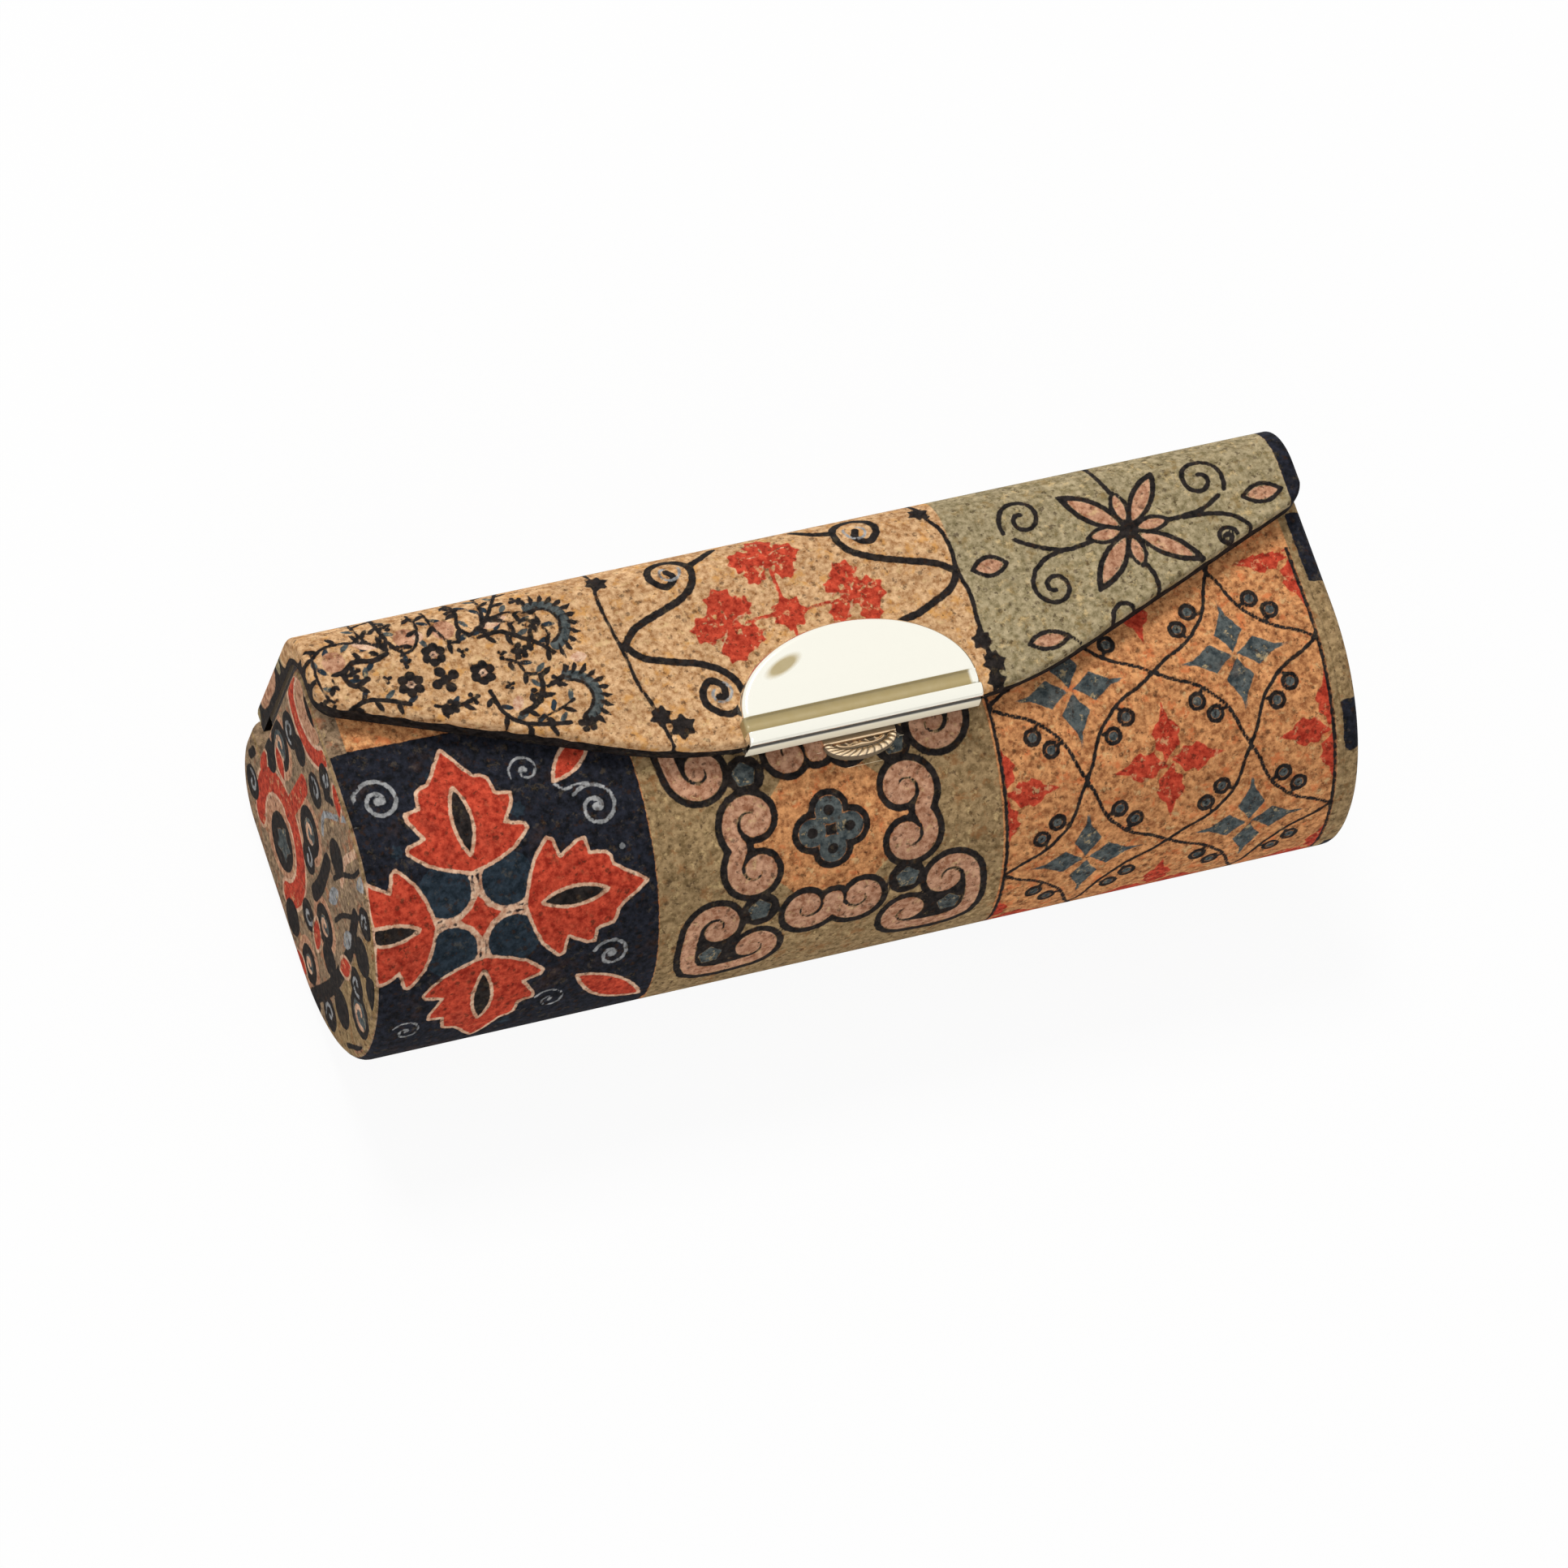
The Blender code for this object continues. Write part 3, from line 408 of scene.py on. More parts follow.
def draw_navy_tile(sheet, centre):
    """Four lotus leaves in a cross round a small star, with teal corners and pale curls."""
    x, y = centre
    sheet.area("navy", (x - 9.35, y - 14.6), (x + 15.7, y + 16.3))
    for side, rise in CORNERS:
        spot = (x + 2.75 * side, y + 2.7 * rise)
        toward = np.degrees(np.arctan2(-rise, -side))
        sheet.disc("teal", spot, 2.35)
        sheet.line("cream", arc_points(spot, 2.4, 2.4, toward - 78, toward + 78, 15), 0.26)
    for turn, gap in ((90, 3.8), (0, 4.0), (180, 3.9), (270, 3.8)):
        stalk = placed([(1.4, 0), (gap, 0)], centre, turn)
        sheet.line("cream", stalk, 0.3)
        draw_lotus(sheet, stalk[1], turn)
    star = [(1.85, 0), (0.75, 0.75), (0, 1.9), (-0.75, 0.75), (-1.85, 0), (-0.75, -0.75), (0, -1.9), (0.75, -0.75)]
    sheet.fill("cream", placed(star, centre), 0.35)
    sheet.fill("red", placed(star, centre))
    for spot, radius, start, turns, width in (
        ((-6.5, 11.4), 2.15, 165, 1.55, 0.36), ((11.6, 7.0), 2.15, 140, 1.5, 0.32),
        ((11.5, -6.5), 1.75, 155, 1.4, 0.32), ((6.5, 11.4), 1.5, 200, 1.3, 0.2),
        ((-6.5, -10.9), 1.5, 150, 1.3, 0.2), ((6.3, -10.8), 1.6, 150, 1.3, 0.2),
    ):  # fmt: skip
        spiral = (x + spot[0], y + spot[1])
        sheet.curl("pale", spiral, radius, start, turns, -1, width)
        sheet.disc("pale", spiral, width * 1.1)
    sheet.curl("pale", (x - 8.6, y + 11.2), 1.9, 100, 0.45, 1, 0.3, 0.8)
    sheet.line("pale", smooth(placed([(8.6, 9.6), (9.4, 9.0), (10.4, 9.2), (11.5, 9.1)], centre)), 0.24)
    sheet.disc("pale", (x + 13.1, y + 3.3), 0.27)
    for base, turn, length, width in (((8.5, -8.2), -40, 8.4, 2.6), ((8.6, 9.9), 41, 5.6, 1.9)):
        leaf = placed(vesica(length, width), (x + base[0], y + base[1]), turn)
        sheet.fill("cream", leaf, 0.2)
        sheet.fill("red", leaf, -0.12)
    blots = ((-1.6, 12.6, 0.5), (4.8, 8.2, 0.9), (9.4, -2.0, 0.8), (-6.2, 6.8, 0.7), (2.6, -12.8, 0.7))
    for across, up, radius in blots:
        sheet.blot("teal", (x + across, y + up), radius, 7, 0.6)


def draw_scroll_tile(sheet, centre):
    """A cartouche of curling ribbons round a four-lobed flower, on mottled khaki."""
    low, high = (centre[0] - 15.8, centre[1] - 15.3), (centre[0] + 15.5, centre[1] + 15.5)
    sheet.area("khaki", low, high)
    field = [(9.2, 0.8), (4.8, 3.9), (4.0, 4.7), (0.8, 9.0), (-0.8, 9.0), (-4.0, 4.7), (-4.8, 3.9), (-9.2, 0.8)]
    field += [(x, -y) for x, y in field[::-1]]
    sheet.fill(None, placed(field, centre), holes=["khaki"])
    waist = [(-8.3, 0.1), *curl_points((-6.9, 2.2), 2.2, 212, 1.1, -1, 0.12)]
    foot = [(-0.2, -6.6), *curl_points((-2.4, -7.05), 2.2, -15, 1.1, -1, 0.12)]
    ear = [*curl_points((-10.5, -7.2), 2.25, 180, 1.1, -1, 0.12)[::-1], (-13.0, -9.8), (-12.4, -12.1), (-10.2, -12.9),
           *curl_points((-7.1, -10.5), 2.15, -95, 1.1, 1, 0.12)]  # fmt: skip
    backing = (
        ((6.9, 2.1), 1.9), ((2.3, 7.0), 1.8), ((10.4, 7.2), 1.8), ((7.1, 10.5), 1.6), ((6.65, 6.1), 1.7),
        ((10.4, 10.1), 1.9),
    )  # fmt: skip
    for flip in CORNERS:
        for spot, radius in backing:
            sheet.disc("dark", np.array(spot) * flip + centre, radius)
        for path in (waist, foot, ear):
            sheet.ribbon(smooth(np.array(path) * flip + centre, 2), 1.34, 0.62)
    sheet.carve("dark", "peach", low, high)
    for flip in CORNERS:
        for spot in ((-6.75, -6.15), (-10.9, -10.4)):
            sheet.blot("slate", np.array(spot) * flip + centre, 1.15, 5, 0.8, 20, holes=["dark"])
    for ring in (("dark", 1.85, "peach"), ("slate", 1.25, "dark"), ("dark", 0.48)):
        for lobe in ((0, 1.7), (0, -1.7), (-1.7, 0), (1.7, 0)):
            sheet.discs(np.array(lobe) + centre, ring)
    sheet.disc("dark", centre, 0.42)


OGEE = ((7.65, 0), (7.0, 1.2), (6.4, 2.8), (5.7, 4.1), (4.9, 4.9), (4.2, 5.6), (3.1, 6.3), (1.5, 7.0), (0, 7.9))
STAR_ARM = ((0.0, 0.4), (1.0, 0.5), (1.4, 1.2), (2.2, 1.0), (2.6, 1.35), (3.4, 0.9), (3.7, 0.45), (5.3, 0))
KITE_ARM = ((0.2, 0.1), (1.1, 0.55), (2.0, 1.3), (2.9, 0.75), (3.7, 0.25), (5.4, 0))


def draw_lattice_tile(sheet, low, high, centre):
    """Ogee lattice whose lines end in paired curls, red stars and slate four-petalled flowers, on orange."""
    pitch = np.array([15.25, 15.8])
    for column in (-1, 0, 1):
        for row in (-1, 0, 1):
            spot = np.array(centre) + pitch * [column, row]
            for flip in CORNERS:
                sheet.within(low, high, sheet.line, "dark", smooth(np.array(OGEE) * flip + spot, 5), 0.34)
                for link in (((4.75, 3.3), (5.9, 3.75)), ((3.3, 4.65), (4.0, 5.75))):
                    link = np.array(link) * flip + spot
                    sheet.within(low, high, sheet.line, "dark", link, 0.3)
                    if (link[0] > low).all() and (link[0] < high).all():
                        sheet.discs(link[0], ("dark", 0.84), ("slate", 0.44, "dark"), ("dark", 0.13))
            for turn in (0, 90, 180, 270):
                sheet.within(low, high, sheet.fill, "red", placed(both_sides(STAR_ARM), spot, turn))
                sheet.within(low, high, sheet.fill, "slate", placed(both_sides(KITE_ARM), spot + pitch / 2, turn))
    for edge in (low[0], high[0]):
        sheet.line("dark", [(edge, low[1]), (edge, high[1])], 0.34)


def draw_rosette(sheet, centre, radius, petals, heart):
    """A small flower of round petals."""
    for turn in 20 + np.arange(petals) * 360 / petals:
        sheet.disc("dark", placed([(radius * 0.62, 0)], centre, turn)[0], radius * 0.36)
    sheet.disc("dark", centre, radius * heart)


def draw_fan(sheet, centre, radius, start, end, count):
    """A feathery half flower: pointed dark petals round a mottled slate band."""
    ring = arc_points(centre, radius * 0.62, radius * 0.62, start, end, 17)
    sheet.line("slate", ring, radius * 0.3)
    sheet.line("dark", np.array(centre) + (ring - centre) * 0.8, 0.3)
    for angle in np.linspace(start, end, count):
        spike = placed(both_sides([(radius * 0.6, 0.3), (radius * 0.85, 0.27), (radius * 1.06, 0)]), centre, angle)
        sheet.fill("dark", spike)
        sheet.disc("dark", placed([(radius * 0.5, 0)], centre, angle + 5)[0], 0.16)


def draw_arabesque_tile(sheet):
    """Fine slate arabesque of fans, vines and small blossoms on orange, at the lid's left."""
    draw_fan(sheet, (-24.4, 12.0), 3.35, -68, 104, 12)
    draw_fan(sheet, (-23.6, 5.1), 3.3, -72, 88, 11)
    for width, vine in (
        (0.42, ((-29.9, 12.2), (-28, 12.3), (-26.4, 11.4), (-25, 10.5), (-24, 9.5))),
        (0.3, ((-30.4, 12.6), (-29.3, 13.3), (-27.5, 13.95), (-26, 13.8), (-24.6, 13.2))),
        (0.3, ((-29.4, 13), (-28.85, 14.8), (-28.7, 17.5))),
        (0.36, ((-29.2, 13.1), (-28.1, 14.6), (-27.1, 16.4), (-26.4, 18))),
        (0.34, ((-37.8, 12.9), (-39.2, 13.8), (-41, 14.35), (-43, 14.3), (-44.3, 13.4))),
        (0.5, ((-37.9, 12.5), (-39.2, 12.1), (-41, 12.3), (-42.1, 11.3), (-41.5, 10.2), (-40.2, 10.6))),
        (0.3, ((-37.9, 12.8), (-39.4, 14.2), (-39.8, 16), (-39.7, 18))),
        (0.4, ((-37.7, 18), (-37.9, 15.6), (-37.5, 13.4), (-36.6, 12.2))),
        (0.3, ((-34.9, 16.6), (-34.7, 14.4), (-35.4, 12.6), (-36.8, 12))),
        (0.3, ((-33.6, 16.6), (-33.4, 14.4), (-32.7, 12.6), (-31.6, 12.1))),
        (0.36, ((-31.3, 17.6), (-30.9, 15.4), (-31.3, 13.6), (-30.6, 12.5))),
        (0.42, ((-30.4, 7.2), (-29.9, 5.2), (-28.6, 3.9), (-26.6, 3.3), (-24.6, 3.0))),
        (0.5, ((-28.4, 4.7), (-27.0, 5.2), (-26.0, 6.3), (-25.8, 7.7))),
        (0.26, ((-44.2, 14), (-44.4, 11.4), (-44, 9.4))),
        (0.42, ((-42.6, 8.2), (-40.8, 8.7), (-39, 8.3), (-37.4, 7.6))),
        (0.3, ((-35.4, 7.0), (-33.8, 6.5), (-32.4, 6.8))),
        (0.3, ((-28.6, 9.9), (-27.4, 9.3), (-26.9, 8.2), (-26.0, 7.9))),
        (0.3, ((-25.6, 12.9), (-24.6, 12.4), (-23.9, 11.2))),
        (0.22, ((-27.6, 13.2), (-26.2, 12.7), (-24.9, 11.7))),
        (0.3, ((-25.4, 6.6), (-24.2, 7.2), (-23.4, 7.0))),
        (0.24, ((-27.2, 3.9), (-25.4, 4.3), (-23.6, 5.0))),
        (0.24, ((-43.2, 11.2), (-42.9, 10.2))),
    ):  # fmt: skip
        stem = smooth(vine, 5)
        sheet.line("dark", stem, width)
        length = walked(stem)
        for number, spot in enumerate(np.arange(0.5, length[-1], 0.95)):
            here, ahead = at_length(stem, length, [spot, spot + 0.3])
            lean = np.degrees(np.arctan2(*(ahead - here)[::-1])) + (52 if number % 2 else -52)
            sheet.fill(("dark", "teal", "dark", "slate")[number % 4], placed(vesica(1.35, 0.5), here, lean))
    for spot, radius, petals in (
        ((-33.8, 9.1), 1.35, 4), ((-36.8, 9.3), 1.25, 6), ((-30.5, 9.0), 1.2, 6), ((-34.1, 11.5), 1.15, 6),
        ((-36.6, 11.3), 0.62, 3), ((-31.6, 11.2), 0.6, 3), ((-28.4, 10.3), 0.5, 3), ((-24.6, 6.9), 0.7, 4),
        ((-26.8, 10.2), 0.85, 5), ((-26.6, 6.0), 0.8, 4), ((-34, 6.6), 0.8, 5), ((-41.2, 11.4), 0.7, 4),
        ((-38.6, 10.2), 0.5, 3), ((-32.0, 6.9), 0.7, 4), ((-23.2, 2.6), 0.9, 5), ((-37.2, 15.4), 0.8, 4),
        ((-31.2, 15.6), 0.8, 4), ((-25.6, 15.2), 0.7, 4), ((-43.6, 9.2), 0.5, 3), ((-28.6, 7.4), 0.5, 4),
    ):  # fmt: skip
        draw_rosette(sheet, spot, radius, petals, 0.34 if petals < 6 else 0.12)
    for spot, radius in (((-36.8, 9.3), 0.4), ((-34.1, 11.5), 0.35), ((-30.5, 9.0), 0.4)):
        sheet.disc("cream", spot, radius)
    for spot, length, turn in (
        ((-29.8, 13.0), 3.0, 12), ((-28.8, 5.0), 1.6, 60), ((-38.4, 13.2), 2.6, 155), ((-34.9, 12.9), 1.2, 90),
        ((-22.9, 8.6), 1.6, 0),
    ):  # fmt: skip
        sheet.fill("cream", placed(vesica(length, 1.0), spot, turn))
    for spot in ((-32.6, 13.6), (-36.0, 13.6), (-42.6, 12.7)):
        sheet.disc("peach", spot, 1.0)


BRACKETS = (
    ((-7.2, 16.8), (-8.8, 15.6), (-10.1, 14.9)),
    ((-17.9, 8.7), (-16.6, 10), (-14.2, 10.9), (-12, 11.7), (-10.6, 12.8), (-10.1, 14.3), (-10.7, 15.6),
     (-12.1, 16.2), (-13.5, 15.5), (-13.8, 14.1), (-12.7, 13.1), (-11.8, 13.9), (-12.2, 14.7)),
    ((-17.9, 8.6), (-16.8, 7.3), (-14.8, 6.5), (-12, 5.6), (-10.2, 4.4), (-9.4, 2.9), (-9.6, 1.5), (-11, 0.7),
     (-12.5, 1.6), (-12.8, 2.9), (-11.9, 4.0), (-10.9, 3.4), (-10.9, 2.4), (-11.5, 2.4)),
    ((0.0, 17.0), (1.4, 15.7), (2.9, 15.2)),
    ((12.3, 9.0), (10.8, 10.1), (8, 11), (5.5, 11.9), (3.8, 12.9), (3.1, 14.3), (3.5, 15.9), (5.2, 16.6),
     (6.6, 15.7), (6.8, 14.3), (5.8, 13.4), (4.8, 14.0), (5.1, 14.9)),
    ((12.3, 8.9), (11.3, 7.6), (9.5, 6.7), (7.8, 6.0), (5.8, 5.5), (4.2, 4.3), (3.6, 2.6), (5, 1.4), (6.6, 2.4)),
)  # fmt: skip
BLOTS = (
    ((-8.7, 10.6), 1.6), ((-10.5, 8.5), 1.6), ((-8.6, 6.4), 1.6), ((-7.1, 10.0), 1.2), ((-6.9, 7.2), 1.3),
    ((-8.6, 8.6), 1.3), ((-3.1, 8.5), 1.75), ((-3.6, 15.5), 1.5), ((-5.5, 14.1), 1.5), ((-1.8, 14.1), 1.5),
    ((-4.9, 12.5), 1.1), ((-2.2, 12.5), 1.1), ((-3.5, 13.9), 1.2), ((2.6, 10.9), 1.45), ((4.3, 8.9), 1.6),
    ((1.3, 10), 0.9), ((1.2, 7.6), 1.1), ((3.9, 7.1), 1.2), ((2.6, 8.9), 1.2),
)  # fmt: skip


def draw_bracket_tile(sheet):
    """Heavy cusped brackets that end in curls, round jagged red blossoms, at the middle of the lid."""
    for path in BRACKETS:
        sheet.line("dark", smooth(path, 6), 0.66)
    for spot, start in (((-12.1, 14.6), 20), ((-11.3, 2.7), 60), ((5.2, 14.8), 150)):
        sheet.curl("pale", spot, 1.15, start, 0.8, 1 if spot[0] > 0 else -1, 0.26, 0.5)
    for index, (spot, radius) in enumerate(BLOTS):
        sheet.blot("red", spot, radius, 7, 0.7, 17 * index)
    for spot in ((-8.6, 8.6), (-3.5, 14.0), (2.9, 8.9)):
        for turn in (20, 92, 164, 236, 308):
            spoke = placed([(0.5, 0), (1.3, 0.12), (2.1, 0.0)], spot, turn)
            sheet.line("cream", spoke, 0.14)
            sheet.clear(["red"], *sheet.reach(spoke, 0.14))
    for path in (
        ((-7, 8.5), (-5.4, 8.6), (-3, 8.5), (-0.6, 8.6), (2, 8.7)),
        ((-3.2, 9), (-3.4, 11), (-3.5, 13.6)),
        ((-3.0, 7.6), (-3.1, 6.6), (-2.9, 5.6)),
    ):
        sheet.line("red", smooth(path, 4), 0.3)


PETALS = (
    (140, 6.2, 1.95), (95, 3.2, 1.3), (52, 5.6, 1.75), (3, 3.2, 1.3), (-36, 6.4, 1.8), (-88, 3.0, 1.4),
    (-132, 6.0, 1.95), (180, 3.3, 1.4),
)  # fmt: skip
ARMS = (
    ((-3.6, -0.3), (-5.9, -0.6), (-8.4, 0.2), (-10.2, 1.3)),
    ((-5.9, -0.5), (-7.9, -0.9), (-9.3, -1.8)),
    ((3.4, 0.1), (5.1, 0.2), (7.1, 0.5), (8.8, 1.4)),
    ((5.1, 0.1), (7.6, -0.1), (9.6, -0.8), (10.6, -2), (10.3, -3.1)),
    ((-0.5, 3.6), (-0.9, 5.1), (-1.1, 7.1), (-0.8, 11)),
    ((0.2, -3), (0.8, -4.4), (0.8, -5.8), (0.5, -7.4)),
    ((-4.2, -8.5), (-3.9, -7.1), (-3, -6.4), (-2.1, -6.8), (-1.8, -7.5)),
)  # fmt: skip
ARM_CURLS = (
    ((-8.95, 3.0), 2.2, 205, -1), ((-8.1, -3.6), 2.0, 135, 1), ((7.6, 3.2), 2.3, -35, 1), ((8.3, -2.5), 1.0, 10, 1),
)  # fmt: skip
SIDE_LEAVES = (((-14.7, -0.6), 3.2, 1.75), ((-12.1, -8.3), 3.7, 1.6), ((10.9, 0.8), 3.6, 1.7), ((-3.4, 9.6), 3.4, 1.6))


def draw_petal_tile(sheet, centre, low, high):
    """An eight-petalled flower with curling arms on mottled khaki."""
    sheet.area("khaki", low, high)
    for path in ARMS:
        sheet.line("dark", smooth(np.array(path) + centre, 6), 0.44)
    for spot, radius, start, hand in ARM_CURLS:
        sheet.curl("dark", np.array(spot) + centre, radius, start, 1.35, hand, 0.44)
    for turn, length, width in PETALS:
        sheet.fill("dark", placed(vesica(length, width, 0.5), centre, turn), 0.2)
        sheet.fill("peach", placed(vesica(length * 0.84, width * 0.72, 0.8), centre, turn), 0.0, holes=["dark"])
    sheet.disc("dark", centre, 0.85)
    for spot, length, width in SIDE_LEAVES:
        leaf = placed(vesica(length, width), np.array(spot) + centre)
        sheet.fill("dark", leaf, 0.2)
        sheet.fill("peach", leaf, -0.2, holes=["dark"])
    sheet.line("dark", np.array([(-8.4, -8.3), (-7.6, -9.1)]) + centre, 0.3)


def draw_body_print(sheet):
    """The front of the case, left to right, and tiles of the same kinds underneath."""
    draw_navy_tile(sheet, (-35.5, 13.4))
    sheet.area("navy", (-50, 29.7), (-20, 60))
    sheet.fill(None, [(-50, 29.9), (-36, 29.5), (-19, 29.7), (-19, 60), (-50, 60)], holes=["navy"])
    draw_scroll_tile(sheet, (-3.95, 14.2))
    sheet.area("navy", (-44.9, UNDERSIDE), (-20.0, 1.0))
    sheet.area("khaki", (-19.6, UNDERSIDE), (11.7, 1.0))
    draw_lattice_tile(sheet, (11.9, UNDERSIDE), (42.4, 29.8), (27.05, 13.5))
    sheet.area("khaki", (42.6, -60), (50, 60))
    for low, high in ((26.4, 33.0), (10.9, 15.6), (UNDERSIDE, -1.0)):
        sheet.area("navy", (43.3, low), (50, high))
    sheet.wipe((-60, -60), (-44.9, 60))
    sheet.line("cream", [(-44.9, 8.6), (-44.9, 18.3)], 0.3)
    sheet.area("khaki", (-50, -60), (-44.9, 60))
    draw_lattice_tile(sheet, (-44.9, -32.4), (-19.8, UNDERSIDE), (-32.0, -19.0))
    draw_petal_tile(sheet, (-4.0, -19.0), (-19.8, -32.4), (11.7, UNDERSIDE))
    draw_navy_tile(sheet, (21.4, -21.6))
    sheet.area("khaki", (37.2, -33), (42.7, UNDERSIDE))
    for edge in (UNDERSIDE, -32.4):
        sheet.line("dark", [(-46, edge), (46, edge)], 0.35)


def draw_lid_print(sheet):
    """The flap and top, left to right, and tiles of the same kinds down the back."""
    draw_arabesque_tile(sheet)
    left = [(-18.4, 22), (-18.6, 16), (-18.9, 13), (-18.6, 10.5), (-18.2, 8), (-17.9, 5), (-17.2, 2.5), (-16.4, -3.0)]
    sheet.line("dark", smooth(left), 0.34)
    for spot, radius in (
        ((-18.3, 15.2), 1.2), ((-16.9, 1.8), 1.15), ((-15.4, 0.5), 1.35), ((12.4, 2.4), 1.1), ((12.8, 0.2), 1.25),
        ((12.5, -1.4), 1.0), ((11.1, 15.4), 1.1),
    ):  # fmt: skip
        sheet.blot("dark", spot, radius, 6, 0.62, spot[1] * 40)
    draw_bracket_tile(sheet)
    draw_petal_tile(sheet, (28.4, 9.4), (12.6, -6.0), (43.4, 22.0))
    right = [(10.9, 22.0), (11.2, 15.4), (12.2, 13), (12.5, 11), (12.4, 9), (12.8, 6.5), (12.6, 3.5), (12.8, -4)]
    sheet.line("dark", smooth(right), 0.42)
    sheet.area("navy", (43.4, 8.6), (50, 60))
    draw_scroll_tile(sheet, (-32.0, 37.0))
    draw_navy_tile(sheet, (-6.5, 36.4))
    draw_lattice_tile(sheet, (12.6, 22.2), (43.6, 52.0), (28.1, 37.5))
    sheet.line("dark", [(-45, 22.2), (45, 22.2)], 0.35)


def draw_end_print(sheet):
    """The end panels: a big red flower, dark rings and a border band, seen as (y, z)."""
    sheet.area("khaki", (-14.6, -1), (-9.6, 30))
    for spot, radius, inner in (
        ((2.7, 15.6), 2.3, 1.2), ((-4.2, 11.2), 2.0, 1.0), ((11, 15.2), 2.3, 1.4), ((-4.4, 3.4), 1.8, 0.9),
        ((-13.2, 12.8), 2.2, 1.5),
    ):  # fmt: skip
        around = "peach" if spot[0] > -10 else "khaki"
        sheet.discs(spot, (around, radius + 0.75), ("dark", radius, "peach"), ("slate", inner, "dark"))
        sheet.curl("cream", spot, inner * 0.9, 200, 0.8, 1, 0.5, 0.3)
    ring = arc_points((6, 7), 5.1, 4.9, -40, 220, 29)
    sheet.line("cream", ring, 2.9)
    sheet.line("red", ring, 2.2)
    sheet.line("red", smooth([(6.4, 11.4), (6.2, 14), (5.9, 18.2)]), 1.9)
    sheet.disc("peach", (6, 7), 3.6)
    sheet.disc("dark", (5.6, 7), 2.7, holes=["peach"])
    sheet.blot("slate", (5.4, 7.2), 1.9, 5, 0.6, holes=["dark"])
    bloom = smooth([(4.3, 28.4), (5.2, 25), (7.2, 22.9), (10, 22.1), (12.5, 23), (13.6, 25.6)])
    sheet.line("cream", bloom, 2.3)
    sheet.line("red", bloom, 1.5)
    sheet.disc("peach", (9.4, 26.4), 3.2)
    sheet.disc("dark", (9.2, 28), 2.5, holes=["peach"])
    for ink, width, path in (
        ("dark", 1.5, ((-7.4, 20.5), (-8.7, 15), (-8.4, 8), (-6.8, 2))),
        ("dark", 1.6, ((-1.1, 17.8), (-1.5, 14), (-1.2, 11.4))),
        ("dark", 0.9, ((14.9, 26), (15, 18), (14.4, 14), (13.5, 11), (14.4, 6))),
        ("pale", 0.5, ((13.6, 17.6), (14.3, 12), (14.9, 8))),
        ("red", 1.7, ((-15.6, 28.4), (-13.8, 25), (-12.2, 21.8))),
        ("red", 1.3, ((-10.8, 28), (-9.6, 25.6))),
        ("cream", 0.8, ((-4.2, 28), (-3.8, 25), (-3.2, 22.4), (-4.0, 19.6))),
        ("pale", 0.6, ((-1.4, 27), (0.2, 24), (1.8, 21), (1.0, 19))),
        ("dark", 0.7, ((0.6, 28), (0.8, 25.4), (2.6, 23))),
        ("dark", 0.5, ((-5.4, 27.6), (-5.2, 24), (-3.6, 20.6), (-2.8, 18))),
        ("dark", 0.5, ((-7, 19.4), (-5.8, 17), (-5.2, 14.6))),
        ("dark", 0.5, ((-15.8, 11), (-14.6, 8.8), (-13.4, 6.6))),
        ("navy", 2.4, ((-17, 25), (-15.6, 21), (-14.4, 17.6))),
    ):  # fmt: skip
        sheet.line(ink, smooth(path), width)
    for spot, length, turn in (((-7.6, 14.6), 3.2, 95), ((-3.4, 14.6), 3.6, 100), ((-6.0, 23.2), 4.2, 105)):
        sheet.fill("pale", placed(vesica(length, 1.5), spot, turn))
    for ink, spot, radius, turn in (
        ("cream", (-10.4, 18.6), 1.3, 40), ("pale", (-11.2, 14.6), 1.1, 200), ("cream", (-10.8, 8.4), 1.3, 90),
        ("pale", (-9.6, 4.6), 1.1, 300), ("cream", (-6.6, 9.4), 1.1, 20), ("pale", (-1.6, 7.6), 1.0, 140),
        ("cream", (0.2, 3.0), 1.2, 250), ("pale", (1.4, 13.0), 1.0, 60), ("cream", (-2.0, 20.6), 1.2, 180),
        ("pale", (4.2, 20.8), 1.1, 10), ("cream", (11.8, 11.6), 1.1, 120), ("pale", (10.6, 19.2), 1.2, 220),
        ("cream", (-7.2, 1.6), 0.8, 80), ("pale", (12.6, 4.2), 1.1, 30), ("cream", (8.2, 20.2), 0.9, 150),
        ("pale", (-9.0, 22.4), 1.0, 270), ("cream", (-13.6, 18.0), 1.0, 0), ("pale", (3.6, 24.4), 0.9, 90),
    ):  # fmt: skip
        sheet.disc("dark", spot, radius + 0.5, holes=["pale", "cream", "peach"])
        sheet.curl(ink, spot, radius, turn, 0.9, 1, 0.36, 0.2)
    for spot, length, turn in (
        ((-4.6, 6.8), 3.4, 60), ((-8.4, 11.6), 3.2, 110), ((-0.4, 25.0), 3.4, 30), ((-12.6, 22.0), 3.4, 75),
        ((8.6, 13.2), 3.0, 15), ((-1.8, 0.6), 3.0, 160), ((12.4, 8.0), 2.6, 90),
    ):  # fmt: skip
        leaf = placed(vesica(length, 1.7), spot, turn)
        sheet.fill("cream", leaf, 0.3, holes=["dark", "pale"])
        sheet.fill("red", leaf, 0.0, holes=["cream"])


# ---------------------------------------------------------------- cork material

# How far an ink's edge takes to fade, in millimetres
INK_EDGE = 0.09


